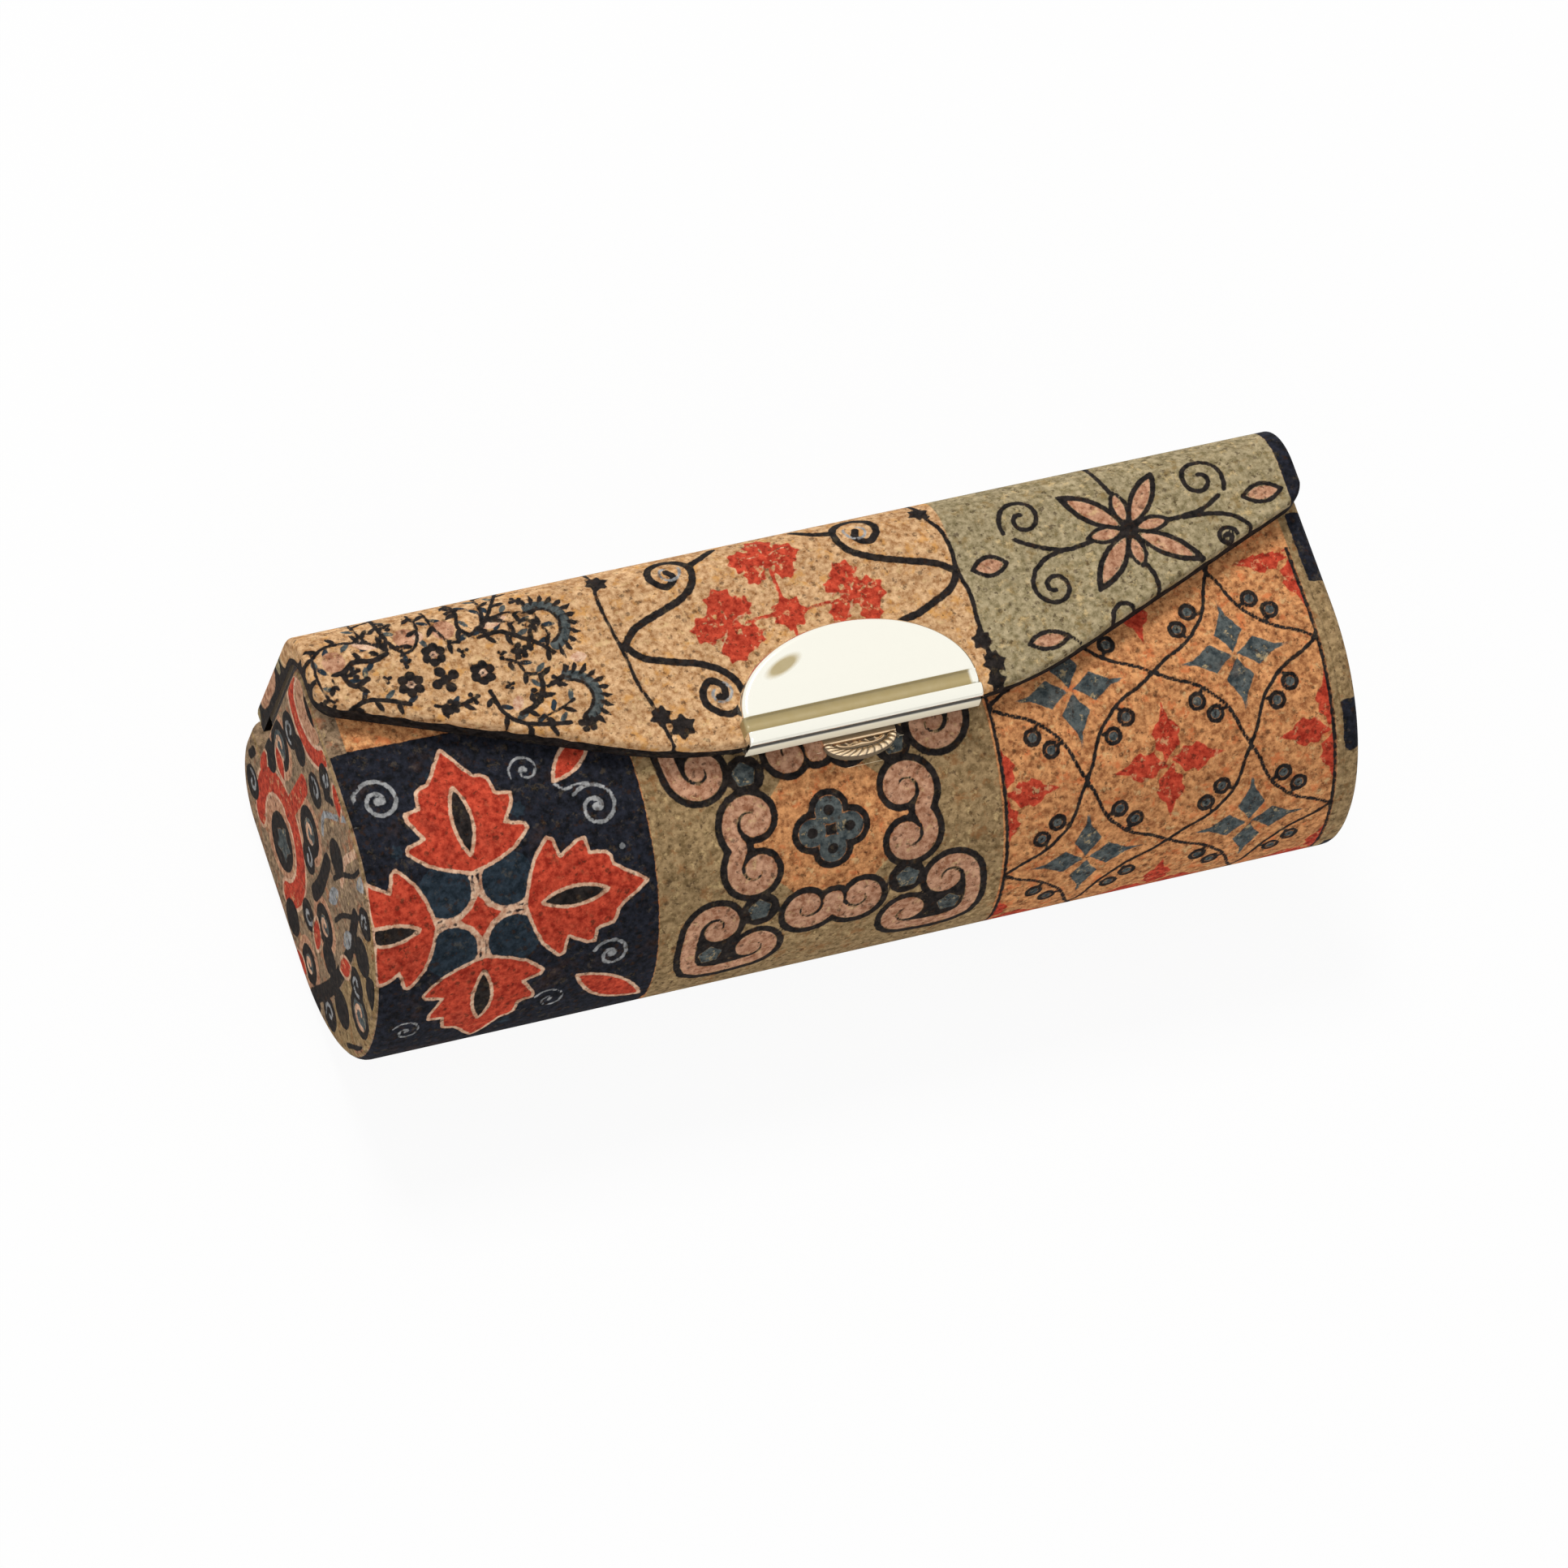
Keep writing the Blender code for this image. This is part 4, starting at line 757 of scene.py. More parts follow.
def cork_material(name, context, ground, khaki_tint):
    """Printed cork: inks with slightly ragged edges over a flecked, mottled grain."""
    props = context.scene.lipstick_inks
    sheet = Sheet(name)
    ragged = (sheet.noise(0.0005, 2.0) - 0.5) * 0.24
    blotch = sheet.noise(0.0028, 4.0, 0.6)
    patch = sheet.noise(0.0013, 3.0, 0.7)
    grain = sheet.noise(0.0006, 4.0, 0.65)
    fine = sheet.noise(0.00028, 2.0)
    pores = sheet.cells(0.0011)
    rough_grain = ((grain - 0.5) * 3.6 + 0.5).clamped()

    warm = ((patch - 0.55) * 8.0).clamped()
    grounds = []
    for (low, high, rust), share in ((ground, 0.7), (khaki_tint, 0.6)):
        grounds.append(sheet.mix(warm * share, sheet.mix(rough_grain, low, high), rust))
    colour = sheet.mix((sheet.attribute("khaki") * -10.0 + 0.5).clamped(), *grounds)
    wear = (0.98 + (blotch - 0.35) * 0.3).clamped()
    for ink in INKS[1:]:
        share = ((sheet.attribute(ink) + ragged) * (-1.0 / INK_EDGE) + 0.5).clamped()
        tint = sheet.mix(rough_grain, getattr(props, ink + "_low"), getattr(props, ink + "_high"))
        colour = sheet.mix(share * wear, colour, tint)
    flecks = ((0.25 - pores) * 9.0).clamped() * ((fine - 0.36) * 6.0).clamped()
    specks = ((sheet.noise(0.0005, 3.0, 0.6) - 0.6) * 14.0).clamped()
    colour = sheet.mix((flecks + specks).clamped() * 0.62, colour, props.fleck)
    light = ((sheet.noise(0.0008, 3.0, 0.7) - 0.58) * 9.0).clamped()
    ground_only = (sheet.attribute("dark") * 6.0).clamped() * (sheet.attribute("navy") * 6.0).clamped()
    colour = sheet.mix(light * ground_only * 0.42 + light * 0.05, colour, props.glint)
    tone = sheet.mix(((blotch - 0.3) * 1.7).clamped(), (0.82, 0.82, 0.82), (1.14, 1.14, 1.14))
    colour = sheet.mix(1.0, colour, tone, "MULTIPLY")
    height = grain * 0.6 + fine * 0.25 - flecks * 0.8
    roughness = 0.66 + grain * 0.2
    return sheet.finish(colour=colour, roughness=roughness, normal=sheet.bump(height, 0.00005, 0.6), specular=0.06)


# ---------------------------------------------------------------- cork sheets


def flap_edge(x):
    """How far forward the flap reaches, in millimetres, at x."""
    x = np.abs(x)
    control = (FLAP_FLAT + FLAP_BLEND) / 2
    rise = (FLAP_BLEND - control) * FLAP_SLOPE
    share = ((x - FLAP_FLAT) / (FLAP_BLEND - FLAP_FLAT)).clip(0, 1)
    return FLAP_FRONT + rise * share**2 + np.maximum(x - FLAP_BLEND, 0) * FLAP_SLOPE


def lid_front(x):
    """The flap's front edge with its two corners rounded."""
    x = np.abs(x)
    lean = np.arctan(FLAP_SLOPE)
    meeting = float(flap_edge(np.array(LID_HALF)))
    reach = FLAP_CORNER * np.tan((pi / 2 - lean) / 2)
    centre_y = meeting + reach
    first = LID_HALF - FLAP_CORNER + FLAP_CORNER * np.sin(lean)
    inside = np.maximum(FLAP_CORNER**2 - (x - LID_HALF + FLAP_CORNER).clip(0, FLAP_CORNER) ** 2, 0)
    return np.where(x > first, centre_y - np.sqrt(inside), flap_edge(x))


class Section:
    """A line of the case's outside seen from its end, walked by its length in millimetres."""

    def __init__(self, points, origin):
        self.points = np.array(points, float)
        self.length = walked(self.points)
        self.length -= self.length[np.argmin(np.hypot(*(self.points - origin).T))]
        along = unit(np.gradient(self.points, axis=0))
        self.out = np.stack([-along[:, 1], along[:, 0]], axis=1)

    def at(self, along):
        """Places and outward directions at these lengths."""
        return at_length(self.points, self.length, along), unit(at_length(self.out, self.length, along))

    def nearest(self, places):
        """The length of the section's point nearest each place."""
        return np.array([self.length[np.argmin(np.hypot(*(self.points - place).T))] for place in places])

    def length_at_y(self, y, first):
        """The length at which the upper part, from first on, reaches y."""
        upper = self.length >= first
        return np.interp(y, self.points[upper, 0], self.length[upper])


def body_section():
    corner = arc_points((BACK - FOOT_CORNER, FOOT_CORNER), FOOT_CORNER, FOOT_CORNER, 0, -90, 24)
    belly = arc_points(BELLY, BELLY_ACROSS, BELLY[1], -90, -180, 120)
    shoulder = arc_points(SHOULDER, SHOULDER_ACROSS, TOP - SHOULDER[1], 180, 90, 160)[1:]
    flat = [(y, TOP) for y in np.arange(0.0, 15.0, 0.5)]
    return Section([(BACK, LIP_TOP), *corner, *belly, *shoulder, *flat], (BELLY[0] - BELLY_ACROSS, BELLY[1]))


def lid_section():
    shoulder = arc_points(SHOULDER, SHOULDER_ACROSS, TOP - SHOULDER[1], 145, 90, 120)
    angle = np.radians(np.linspace(145, 90, 121))
    out = np.stack([np.cos(angle) / SHOULDER_ACROSS, np.sin(angle) / (TOP - SHOULDER[1])], axis=1)
    shoulder += LID_RISE * unit(out)
    corner = arc_points((BACK - LID_CORNER, TOP + LID_RISE - LID_CORNER), LID_CORNER, LID_CORNER, 90, 0, 40)
    flat = [(y, TOP + LID_RISE) for y in np.arange(0.0, BACK - LID_CORNER - 0.3, 0.5)]
    back = [(BACK, z) for z in np.arange(24.0, LID_LOW, -0.5)]
    return Section([*shoulder, *flat, *corner, *back, (BACK, LID_LOW)], (SHOULDER[0], TOP + LID_RISE))


def spaced(low, high, step):
    return np.linspace(low, high, max(2, int(round((high - low) / step)) + 1))


def make_grid(name, across, along):
    """A flat grid primitive with one vertex for each pair of values."""
    bpy.ops.object.select_all(action="DESELECT")
    bpy.ops.mesh.primitive_grid_add(x_subdivisions=len(across) - 1, y_subdivisions=len(along) - 1, size=1)
    made = bpy.context.object
    made.name = made.data.name = name
    return made


def shape_grid(made, places):
    """Moves a grid's vertices to places, an array of rows by columns by 3 in millimetres."""
    rows, columns = places.shape[:2]
    mesh = made.data
    assert len(mesh.vertices) == rows * columns
    mesh.vertices.foreach_set("co", (places.reshape(-1, 3) * MM).astype(np.float32).ravel())
    mesh.update()


def face_out(made, middle):
    """Turns the faces round if the one in the middle of the list points toward the middle of the case, and shades them
    smooth.
    """
    mesh = made.data
    face = mesh.polygons[len(mesh.polygons) // 2]
    if face.normal.dot(face.center - Vector(middle)) < 0:
        mesh.flip_normals()
    bpy.ops.object.select_all(action="DESELECT")
    made.select_set(True)
    bpy.context.view_layer.objects.active = made
    bpy.ops.object.shade_smooth()


def ride(made, body, slot, material, *replaced):
    made.data.materials.clear()
    made.data.materials.append(material)
    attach(made, body)
    if replaced:
        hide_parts(*replaced)


def edge_sink(distance, radius):
    """How far a surface drops within a fold's radius of its edge."""
    near = (distance / radius).clip(0, 1)
    return radius * (1 - np.sqrt(1 - (1 - near) ** 2))


def hem(made, outward, depth):
    """Carries the sheet's border inward, so that its edge shows its thickness."""
    shape = bmesh.new()
    shape.from_mesh(made.data)
    border = [edge for edge in shape.edges if edge.is_boundary]
    grown = bmesh.ops.extrude_edge_only(shape, edges=border)["geom"]
    fresh = {item for item in grown if isinstance(item, bmesh.types.BMVert)}
    shape.verts.ensure_lookup_table()
    ways = outward.reshape(-1, 3)
    shape.verts.index_update()
    for vert in fresh:
        partner = next(edge.other_vert(vert) for edge in vert.link_edges if edge.other_vert(vert) not in fresh)
        vert.co = partner.co - Vector(ways[partner.index]) * (depth * MM)
    shape.to_mesh(made.data)
    shape.free()


# Painted shade on the hem's walls: how far inside dark ink they are printed at their inner edge, at the end walls and
# along the open edges
HEM_SHADE_AT_ENDS, HEM_SHADE_AT_EDGES = -0.5, -4.0


def wrap_cork(name, section, columns, lengths, gaps, fold, draw):
    """A printed sheet on the section, sunk within a fold's radius of the edges that gaps gives, and hemmed, with
    painted shade on the hem's walls.
    """
    place, out = section.at(lengths)
    across = np.broadcast_to(columns, lengths.shape)
    solid = np.stack([across, place[..., 0], place[..., 1]], axis=-1)
    outward = np.stack([np.zeros_like(across), out[..., 0], out[..., 1]], axis=-1)
    sink = np.max([edge_sink(gap, fold) for gap in gaps], axis=0)
    cork = make_grid(name, columns, lengths[:, 0])
    shape_grid(cork, solid - outward * sink[..., None])
    sheet = Print(across.ravel(), lengths.ravel())
    draw(sheet)
    sheet.store(cork.data)
    printed = len(cork.data.vertices)
    hem(cork, outward, WALL - fold)
    spots = np.empty(len(cork.data.vertices) * 3)
    cork.data.vertices.foreach_get("co", spots)
    # Painted shade: the hem's walls fade from the print into dark ink in place of the shadow under the flap's edge, and
    # lose the pale ink
    at_end = np.abs(spots[::3]) > (np.abs(columns).max() - 0.3) * MM
    for ink, value in (("dark", np.where(at_end, HEM_SHADE_AT_ENDS, HEM_SHADE_AT_EDGES)), ("pale", np.ones(len(at_end)))):
        layer = cork.data.attributes[ink].data
        layer_values = np.empty(len(layer), np.float32)
        layer.foreach_get("value", layer_values)
        layer_values[printed:] = value[printed:]
        layer.foreach_set("value", layer_values)
    face_out(cork, CASE_INSIDE)
    return cork


def size_property(name, description, default, **limits):
    return FloatProperty(name=name, description=description, default=default, unit="LENGTH", precision=5, **limits)


def turn_property(name, description, degrees):
    return FloatProperty(name=name, description=description, default=radians(degrees), subtype="ANGLE")


def colour_property(name, description, value):
    return FloatVectorProperty(name=name, description=description, default=value, subtype="COLOR", size=3, min=0, max=1)


class BoxProps(bpy.types.PropertyGroup):
    """Steps and folds of the printed cork."""

    grain_step: size_property("Cork Step", "Spacing of the cork's points where they show most", 0.00023, min=0.0001)
    fold: size_property("Edge Fold", "Radius of the cork's soft folds over the board's edges", 0.0005)
    end_fold: size_property("End Fold", "Radius of the fold where the front turns to the end panel", 0.0012)


INK_COLOURS = (
    ("navy", "navy tiles", (0.004, 0.0045, 0.006), (0.021, 0.023, 0.034)),
    ("teal", "teal shapes", (0.008, 0.014, 0.02), (0.03, 0.045, 0.062)),
    ("peach", "scrolls", (0.3, 0.125, 0.065), (0.66, 0.37, 0.23)),
    ("cream", "leaves' edges", (0.46, 0.22, 0.13), (0.8, 0.55, 0.38)),
    ("red", "leaves and stars", (0.28, 0.02, 0.01), (0.66, 0.085, 0.042)),
    ("dark", "drawn lines", (0.006, 0.005, 0.005), (0.03, 0.024, 0.022)),
    ("slate", "grey-green lobes and kites", (0.028, 0.038, 0.042), (0.117, 0.133, 0.129)),
    ("pale", "thin pale curls", (0.16, 0.165, 0.17), (0.42, 0.42, 0.42)),
)


def ink_properties():
    """The colours of every ink, and the two of the cork's own flecks and grains."""
    made = {}
    for ink, where, low, high in INK_COLOURS:
        made[ink + "_low"] = colour_property(ink.title() + ", Darker", "Darker parts of the " + where, low)
        made[ink + "_high"] = colour_property(ink.title() + ", Lighter", "Lighter parts of the " + where, high)
    made["fleck"] = colour_property("Fleck", "Dark flecks of bark in the cork", (0.035, 0.016, 0.008))
    made["glint"] = colour_property("Light Grain", "Pale grains of the cork", (0.78, 0.56, 0.27))
    return made


class InkProps(bpy.types.PropertyGroup):
    """The print's inks, each as a darker and a lighter colour that the grain moves between."""

    __annotations__ = ink_properties()


class StageProps(bpy.types.PropertyGroup):
    """Camera and lights."""

    azimuth: turn_property("Azimuth", "Camera's turn from the front toward the left", 43.38)
    elevation: turn_property("Elevation", "Camera's height as an angle", 62.79)
    roll: turn_property("Roll", "Camera's turn about its view", 27.62)
    distance: size_property("Distance", "From the camera to the case", 0.871311894)
    pixels: FloatProperty(name="Pixels per Millimetre", description="Scale of the view at the case", default=14.4)
    shift_x: size_property("Shift Right", "How far right of the view's middle the case stands", 1.97 * MM)
    shift_y: size_property("Shift Up", "How far above the view's middle the case stands", 1.34 * MM)
    aim_height: size_property("Aim Height", "Height of the point that the camera turns about", 12 * MM)
    floor: size_property("Floor", "Half the width of the floor", 6.0)


class LIPSTICKBOX_OT_stage(bpy.types.Operator):
    """Sets the floor, the world, the lamps and the camera"""

    bl_idname = "lipstickbox.stage"
    bl_label = "Set Stage"

    def execute(self, context):
        props = context.scene.lipstick_stage
        azimuth, elevation, roll = props.azimuth, props.elevation, props.roll
        toward = Vector((-sin(azimuth) * cos(elevation), -cos(azimuth) * cos(elevation), sin(elevation)))
        right = Vector((0, 0, 1)).cross(toward).normalized()
        up = toward.cross(right)
        right, up = cos(roll) * right + sin(roll) * up, -sin(roll) * right + cos(roll) * up
        spot = Vector((0, 0, props.aim_height)) + props.distance * toward - props.shift_x * right - props.shift_y * up
        camera = bpy.data.objects.new("camera", bpy.data.cameras.new("camera"))
        camera.data.sensor_width = SENSOR
        camera.data.lens = SENSOR * props.pixels * props.distance / MM / PHOTO_WIDTH
        camera.data.clip_start = 0.01
        camera.data.clip_end = 100
        camera.matrix_world = Matrix.Translation(spot) @ Matrix((right, up, toward)).transposed().to_4x4()
        context.scene.collection.objects.link(camera)
        context.scene.camera = camera
        bpy.ops.object.select_all(action="DESELECT")
        bpy.ops.mesh.primitive_plane_add(size=2 * props.floor, location=(0, 0, -0.00002))
        floor = context.object
        floor.name = "floor"
        floor.data.materials.append(floor_material())
        light_world(context.scene)
        for name, place, size, power, tint in (
            ("key", (-0.12, 0.8, 1.15), 0.34, 12.0, (1.0, 0.985, 0.96)),
            ("fill", (-0.5, -1.2, 0.9), 1.0, 5.0, (1.0, 1.0, 1.0)),
        ):
            lamp = bpy.data.objects.new(name, bpy.data.lights.new(name, "AREA"))
            lamp.data.size = size
            lamp.data.energy = power
            lamp.data.color = tint
            lamp.location = place
            lamp.rotation_euler = (-Vector(place)).to_track_quat("-Z", "Y").to_euler()
            context.scene.collection.objects.link(lamp)
        context.scene.view_settings.view_transform = "Standard"
        return {"FINISHED"}


# The share of the floor that shows as plain white to the camera
FLOOR_GLOW = 0.93


def floor_material():
    """A pale floor that meets the white background and keeps a soft shadow."""
    sheet = Sheet("studio_floor")
    ways = sheet.tree.nodes.new("ShaderNodeLightPath")
    grain = sheet.noise(0.004, 2.0)
    sheet.finish(colour=sheet.mix(grain * 0.2, (0.8, 0.8, 0.8), (0.86, 0.86, 0.86)), roughness=0.9)
    glow = sheet.node("ShaderNodeEmission", {"Color": (1.0, 1.0, 1.0), "Strength": 1.0})
    share = Term(sheet, ways.outputs["Is Camera Ray"]) * FLOOR_GLOW
    both = sheet.node("ShaderNodeMixShader", {0: share, 1: sheet.shader.outputs[0], 2: glow})
    output = next(node for node in sheet.tree.nodes if node.type == "OUTPUT_MATERIAL")
    sheet.tree.links.new(both.socket, output.inputs[0])
    return sheet.material


def light_world(scene):
    """White to the camera and in reflections, gentler as light."""
    world = bpy.data.worlds.new("studio")
    scene.world = world
    world.use_nodes = True
    tree = world.node_tree
    back = tree.nodes["Background"]
    back.inputs[0].default_value = (1, 1, 1, 1)
    ways = tree.nodes.new("ShaderNodeLightPath")
    seen = tree.nodes.new("ShaderNodeMath")
    seen.operation = "MAXIMUM"
    tree.links.new(ways.outputs["Is Camera Ray"], seen.inputs[0])
    tree.links.new(ways.outputs["Is Glossy Ray"], seen.inputs[1])
    strength = tree.nodes.new("ShaderNodeMath")
    strength.operation = "MULTIPLY_ADD"
    strength.inputs[1].default_value = 0.5
    strength.inputs[2].default_value = 0.5
    tree.links.new(seen.outputs[0], strength.inputs[0])
    tree.links.new(strength.outputs[0], back.inputs[1])


class LIPSTICKBOX_OT_body_cork(bpy.types.Operator):
    """Wraps the printed cork round the body, turned in at the front rim and the back lip"""

    bl_idname = "lipstickbox.body_cork"
    bl_label = "Wrap Body Cork"

    def execute(self, context):
        props = context.scene.lipstick_box
        step = props.grain_step / MM
        section = body_section()
        columns = spaced(-SEAM, SEAM, step * 1.02)
        level = section.length_at_y(FLAP_FRONT + 1.0, 0)
        rim = section.length_at_y(flap_edge(columns) + RIM_OVERLAP, 0)
        low = section.length[0]
        below = spaced(low, COARSE_END, step * 2.6)
        front = spaced(COARSE_END, level, step)[1:]
        share = np.linspace(0, 1, int(LEANING_REACH / step / 1.15))[1:]
        lengths = np.concatenate([
            np.repeat(np.concatenate([below, front])[:, None], len(columns), axis=1),
            level + share[:, None] * (rim - level)[None, :],
        ])  # fmt: skip
        gaps = [rim[None, :] - lengths, lengths - low]
        cork = wrap_cork("body_cork", section, columns, lengths, gaps, props.fold / MM, draw_body_print)
        material = cork_material("printed_cork_body", context, FRONT_GROUND, FRONT_KHAKI)
        ride(cork, "case", "printed_cork", material, "body_cover")
        return {"FINISHED"}


# The cork's own colours: darker, lighter, and the rusty patches
FRONT_GROUND = ((0.29, 0.105, 0.038), (0.80, 0.375, 0.150), (0.66, 0.175, 0.056))
FRONT_KHAKI = ((0.180, 0.115, 0.050), (0.43, 0.290, 0.145), (0.28, 0.115, 0.036))
LID_GROUND = ((0.35, 0.165, 0.062), (0.78, 0.500, 0.270), (0.66, 0.320, 0.085))
LID_KHAKI = ((0.195, 0.155, 0.075), (0.47, 0.380, 0.230), (0.260, 0.165, 0.055))
END_GROUND = ((0.13, 0.085, 0.050), (0.40, 0.27, 0.165), (0.42, 0.150, 0.070))


class LIPSTICKBOX_OT_lid_cork(bpy.types.Operator):
    """Wraps the printed cork over the flap, the top and the back, turned in all round"""

    bl_idname = "lipstickbox.lid_cork"
    bl_label = "Wrap Lid Cork"

    def execute(self, context):
        props = context.scene.lipstick_box
        step = props.grain_step / MM
        section = lid_section()
        inner = spaced(-LID_HALF + END_EASE, LID_HALF - END_EASE, step)
        ease = LID_HALF - END_EASE + END_EASE * np.sin(np.linspace(0, pi / 2, 9)[1:])
        columns = np.concatenate([-ease[::-1], inner, ease])
        start = section.length_at_y(lid_front(columns), section.length[0])
        high = section.length[-1]
        share = np.linspace(0, 1, int(LEANING_REACH / step))
        back = np.concatenate([spaced(LEANING_END, COARSE_START, step)[1:], spaced(COARSE_START, high, step * 1.3)[1:]])
        lengths = np.concatenate([
            start[None, :] + share[:, None] * (LEANING_END - start)[None, :],
            np.repeat(back[:, None], len(columns), axis=1),
        ])  # fmt: skip
        sides = np.broadcast_to(LID_HALF - np.abs(columns), lengths.shape)
        gaps = [lengths - start[None, :], high - lengths, sides]
        cork = wrap_cork("lid_cork", section, columns, lengths, gaps, props.fold / MM, draw_lid_print)
        material = cork_material("printed_cork_lid", context, LID_GROUND, LID_KHAKI)
        ride(cork, "lid", "printed_cork", material, "lid_cover")
        return {"FINISHED"}


def panel_outline(step):
    """The end panel's outline, anticlockwise from the top of the back lip's inner corner, evenly spaced."""
    radius = LID_CORNER - LID_RISE
    top_corner = arc_points((BACK - LID_CORNER, TOP - radius), radius, radius, 0, 90, 16)
    shoulder = arc_points(SHOULDER, SHOULDER_ACROSS, TOP - SHOULDER[1], 90, 180, 80)
    belly = arc_points(BELLY, BELLY_ACROSS, BELLY[1], 180, 270, 70)
    corner = arc_points((BACK - FOOT_CORNER, FOOT_CORNER), FOOT_CORNER, FOOT_CORNER, -90, 0, 24)
    raw = np.concatenate([[(BACK - LID_RISE, LIP_TOP)], top_corner, shoulder, belly[1:], corner, [(BACK, LIP_TOP)]])
    closed = np.concatenate([raw, raw[:1]])
    length = walked(closed)
    corners = length[[0, len(raw) - 1, len(raw)]]
    spots = [spaced(corners[0], corners[1], step)[:-1], spaced(corners[1], corners[2], step)]
    return at_length(closed, length, np.concatenate(spots))


def shrink(outline, distance):
    """The closed outline, whose last point repeats its first, moved inward with mitred corners."""
    ring = outline[:-1]
    before = unit(ring - np.roll(ring, 1, axis=0))
    after = unit(np.roll(ring, -1, axis=0) - ring)
    n1 = np.stack([-before[:, 1], before[:, 0]], axis=1)
    n2 = np.stack([-after[:, 1], after[:, 0]], axis=1)
    middle = unit(n1 + n2)
    moved = ring + middle * (distance / np.maximum((middle * n1).sum(axis=1), 0.4))[:, None]
    lip = ring[:, 0] > BACK - LID_RISE + 1e-6
    moved[lip, 1] = np.minimum(moved[lip, 1], LIP_TOP - distance)
    moved[:, 0] = np.minimum(moved[:, 0], BACK - distance)
    return np.concatenate([moved, moved[:1]])


class LIPSTICKBOX_OT_end_cork(bpy.types.Operator):
    """Lays the printed cork on both end panels and rolls it softly round to the front"""

    bl_idname = "lipstickbox.end_cork"
    bl_label = "Lay End Cork"

    def execute(self, context):
        props = context.scene.lipstick_box
        step = props.grain_step / MM
        radius = props.end_fold / MM
        outline = panel_outline(step * 1.5)
        centre = np.array([0.0, LIP_TOP - radius - 0.7])
        section = body_section()
        for side, name in ((-1, "left"), (1, "right")):
            rows = [(outline, SEAM), (outline, HALF - radius)]
            for angle in np.linspace(0, pi / 2, 7)[1:]:
                rows.append((shrink(outline, radius * (1 - cos(angle))), HALF - radius * (1 - sin(angle))))
            inner = rows[-1][0]
            count = int(14 / (step * 1.3))
            for share in np.linspace(0, 1, count)[1:]:
                rows.append((inner + (centre - inner) * min(share, 0.9995), HALF))
            places = np.stack([np.column_stack([np.full(len(ring), side * x), ring]) for ring, x in rows])
            cork = make_grid("end_cork_" + name, outline, rows)
            shape_grid(cork, places)
            flat = np.stack([ring for ring, x in rows])
            sheet = Print(flat[..., 0].ravel(), flat[..., 1].ravel())
            draw_end_print(sheet)
            lengths = section.nearest(outline)
            reach = [SEAM, *(HALF - radius * (1 - angle) for angle in np.linspace(0, pi / 2, 7))]
            fold = Print(np.repeat(reach, len(outline)) * side, np.tile(lengths, len(reach)))
            draw_body_print(fold)
            edge = fold.points[:, 0] * side < HALF + 0.35
            for ink in INKS:
                sheet.inks[ink][: len(edge)][edge] = fold.inks[ink][edge]
            sheet.store(cork.data)
            bpy.context.view_layer.objects.active = cork
            bpy.ops.object.mode_set(mode="EDIT")
            bpy.ops.mesh.select_all(action="SELECT")
            bpy.ops.mesh.remove_doubles(threshold=1e-7)
            bpy.ops.object.mode_set(mode="OBJECT")
            face_out(cork, CASE_INSIDE)
            material = cork_material("printed_cork_end_" + name, context, END_GROUND, FRONT_KHAKI)
            ride(cork, "case", "printed_cork", material, "end_cover_" + name)
        return {"FINISHED"}


def d_shape(y, straight, back, half, depth):
    """Half the width at y of a half ellipse whose straight part begins at y = straight."""
    share = ((y - straight) / depth * back).clip(0, 1)
    return half * np.sqrt(1 - share**2)


def edge_distance(x, y, middle, half, depth, back):
    """Distance in from a half ellipse's curved border."""
    reach = np.maximum((y - middle) * back, 0)
    level = np.hypot(x / half, reach / depth)
    slope = np.hypot(x / half**2, reach / depth**2) / np.maximum(level, 1e-6)
    return (1 - level) / np.maximum(slope, 1e-6)


# Colours laid over the gilt by attributes: a painted reflection in olive, a painted highlight on the clasp's lip, and
# painted shade in seams, grooves and crevices
PLATE_TINTS = (
    ("olive", (0.36, 0.27, 0.10)),
    ("cream_lip", (0.98, 0.90, 0.70)),
    ("shade", (0.030, 0.022, 0.014)),
)

# Rows of the clasp's profile that are its lip, painted near-white as a highlight, and the seam above it, painted dark
# as shade in its groove
LIP_ROWS = (4, 6)
SEAM_ROWS = (7, 10)


def plated_material(name, base, rough, metal):
    """Gilt whose colour, gloss and metal share are painted on the piece as attributes: a painted reflection, a painted
    highlight and painted shade, each less metallic and rougher.
    """
    sheet = Sheet(name)
    wave = sheet.noise(0.004, 2.0)
    haze = sheet.noise(0.0009, 3.0)
    colour = base
    for tint, value in PLATE_TINTS:
        colour = sheet.mix(sheet.attribute(tint).clamped(), colour, value)
    tinted = (sheet.attribute("olive") + sheet.attribute("cream_lip") + sheet.attribute("shade")).clamped()
    colour = sheet.mix(haze * 0.12, colour, tuple(c * 0.8 for c in base))
    return sheet.finish(
        colour=colour, metallic=(metal - tinted * 0.85).clamped(), roughness=rough + tinted * 0.25 + haze * 0.05,
        normal=sheet.bump(wave * 0.6 + haze * 0.08, 0.00003, 0.2),
    )  # fmt: skip


def paint(made, **values):
    for name, value in values.items():
        layer = made.data.attributes.new(name, "FLOAT", "POINT")
        layer.data.foreach_set("value", np.asarray(value, np.float32).ravel())


def skirt(made, shape, depth, lowest):
    """Carries a casting's border straight down by depth, but not below lowest, given for each y in metres."""
    down = np.zeros((*shape, 3))
    down[..., 2] = 1.0
    hem(made, down, depth)
    for vert in made.data.vertices:
        vert.co.z = max(vert.co.z, lowest(vert.co.y))


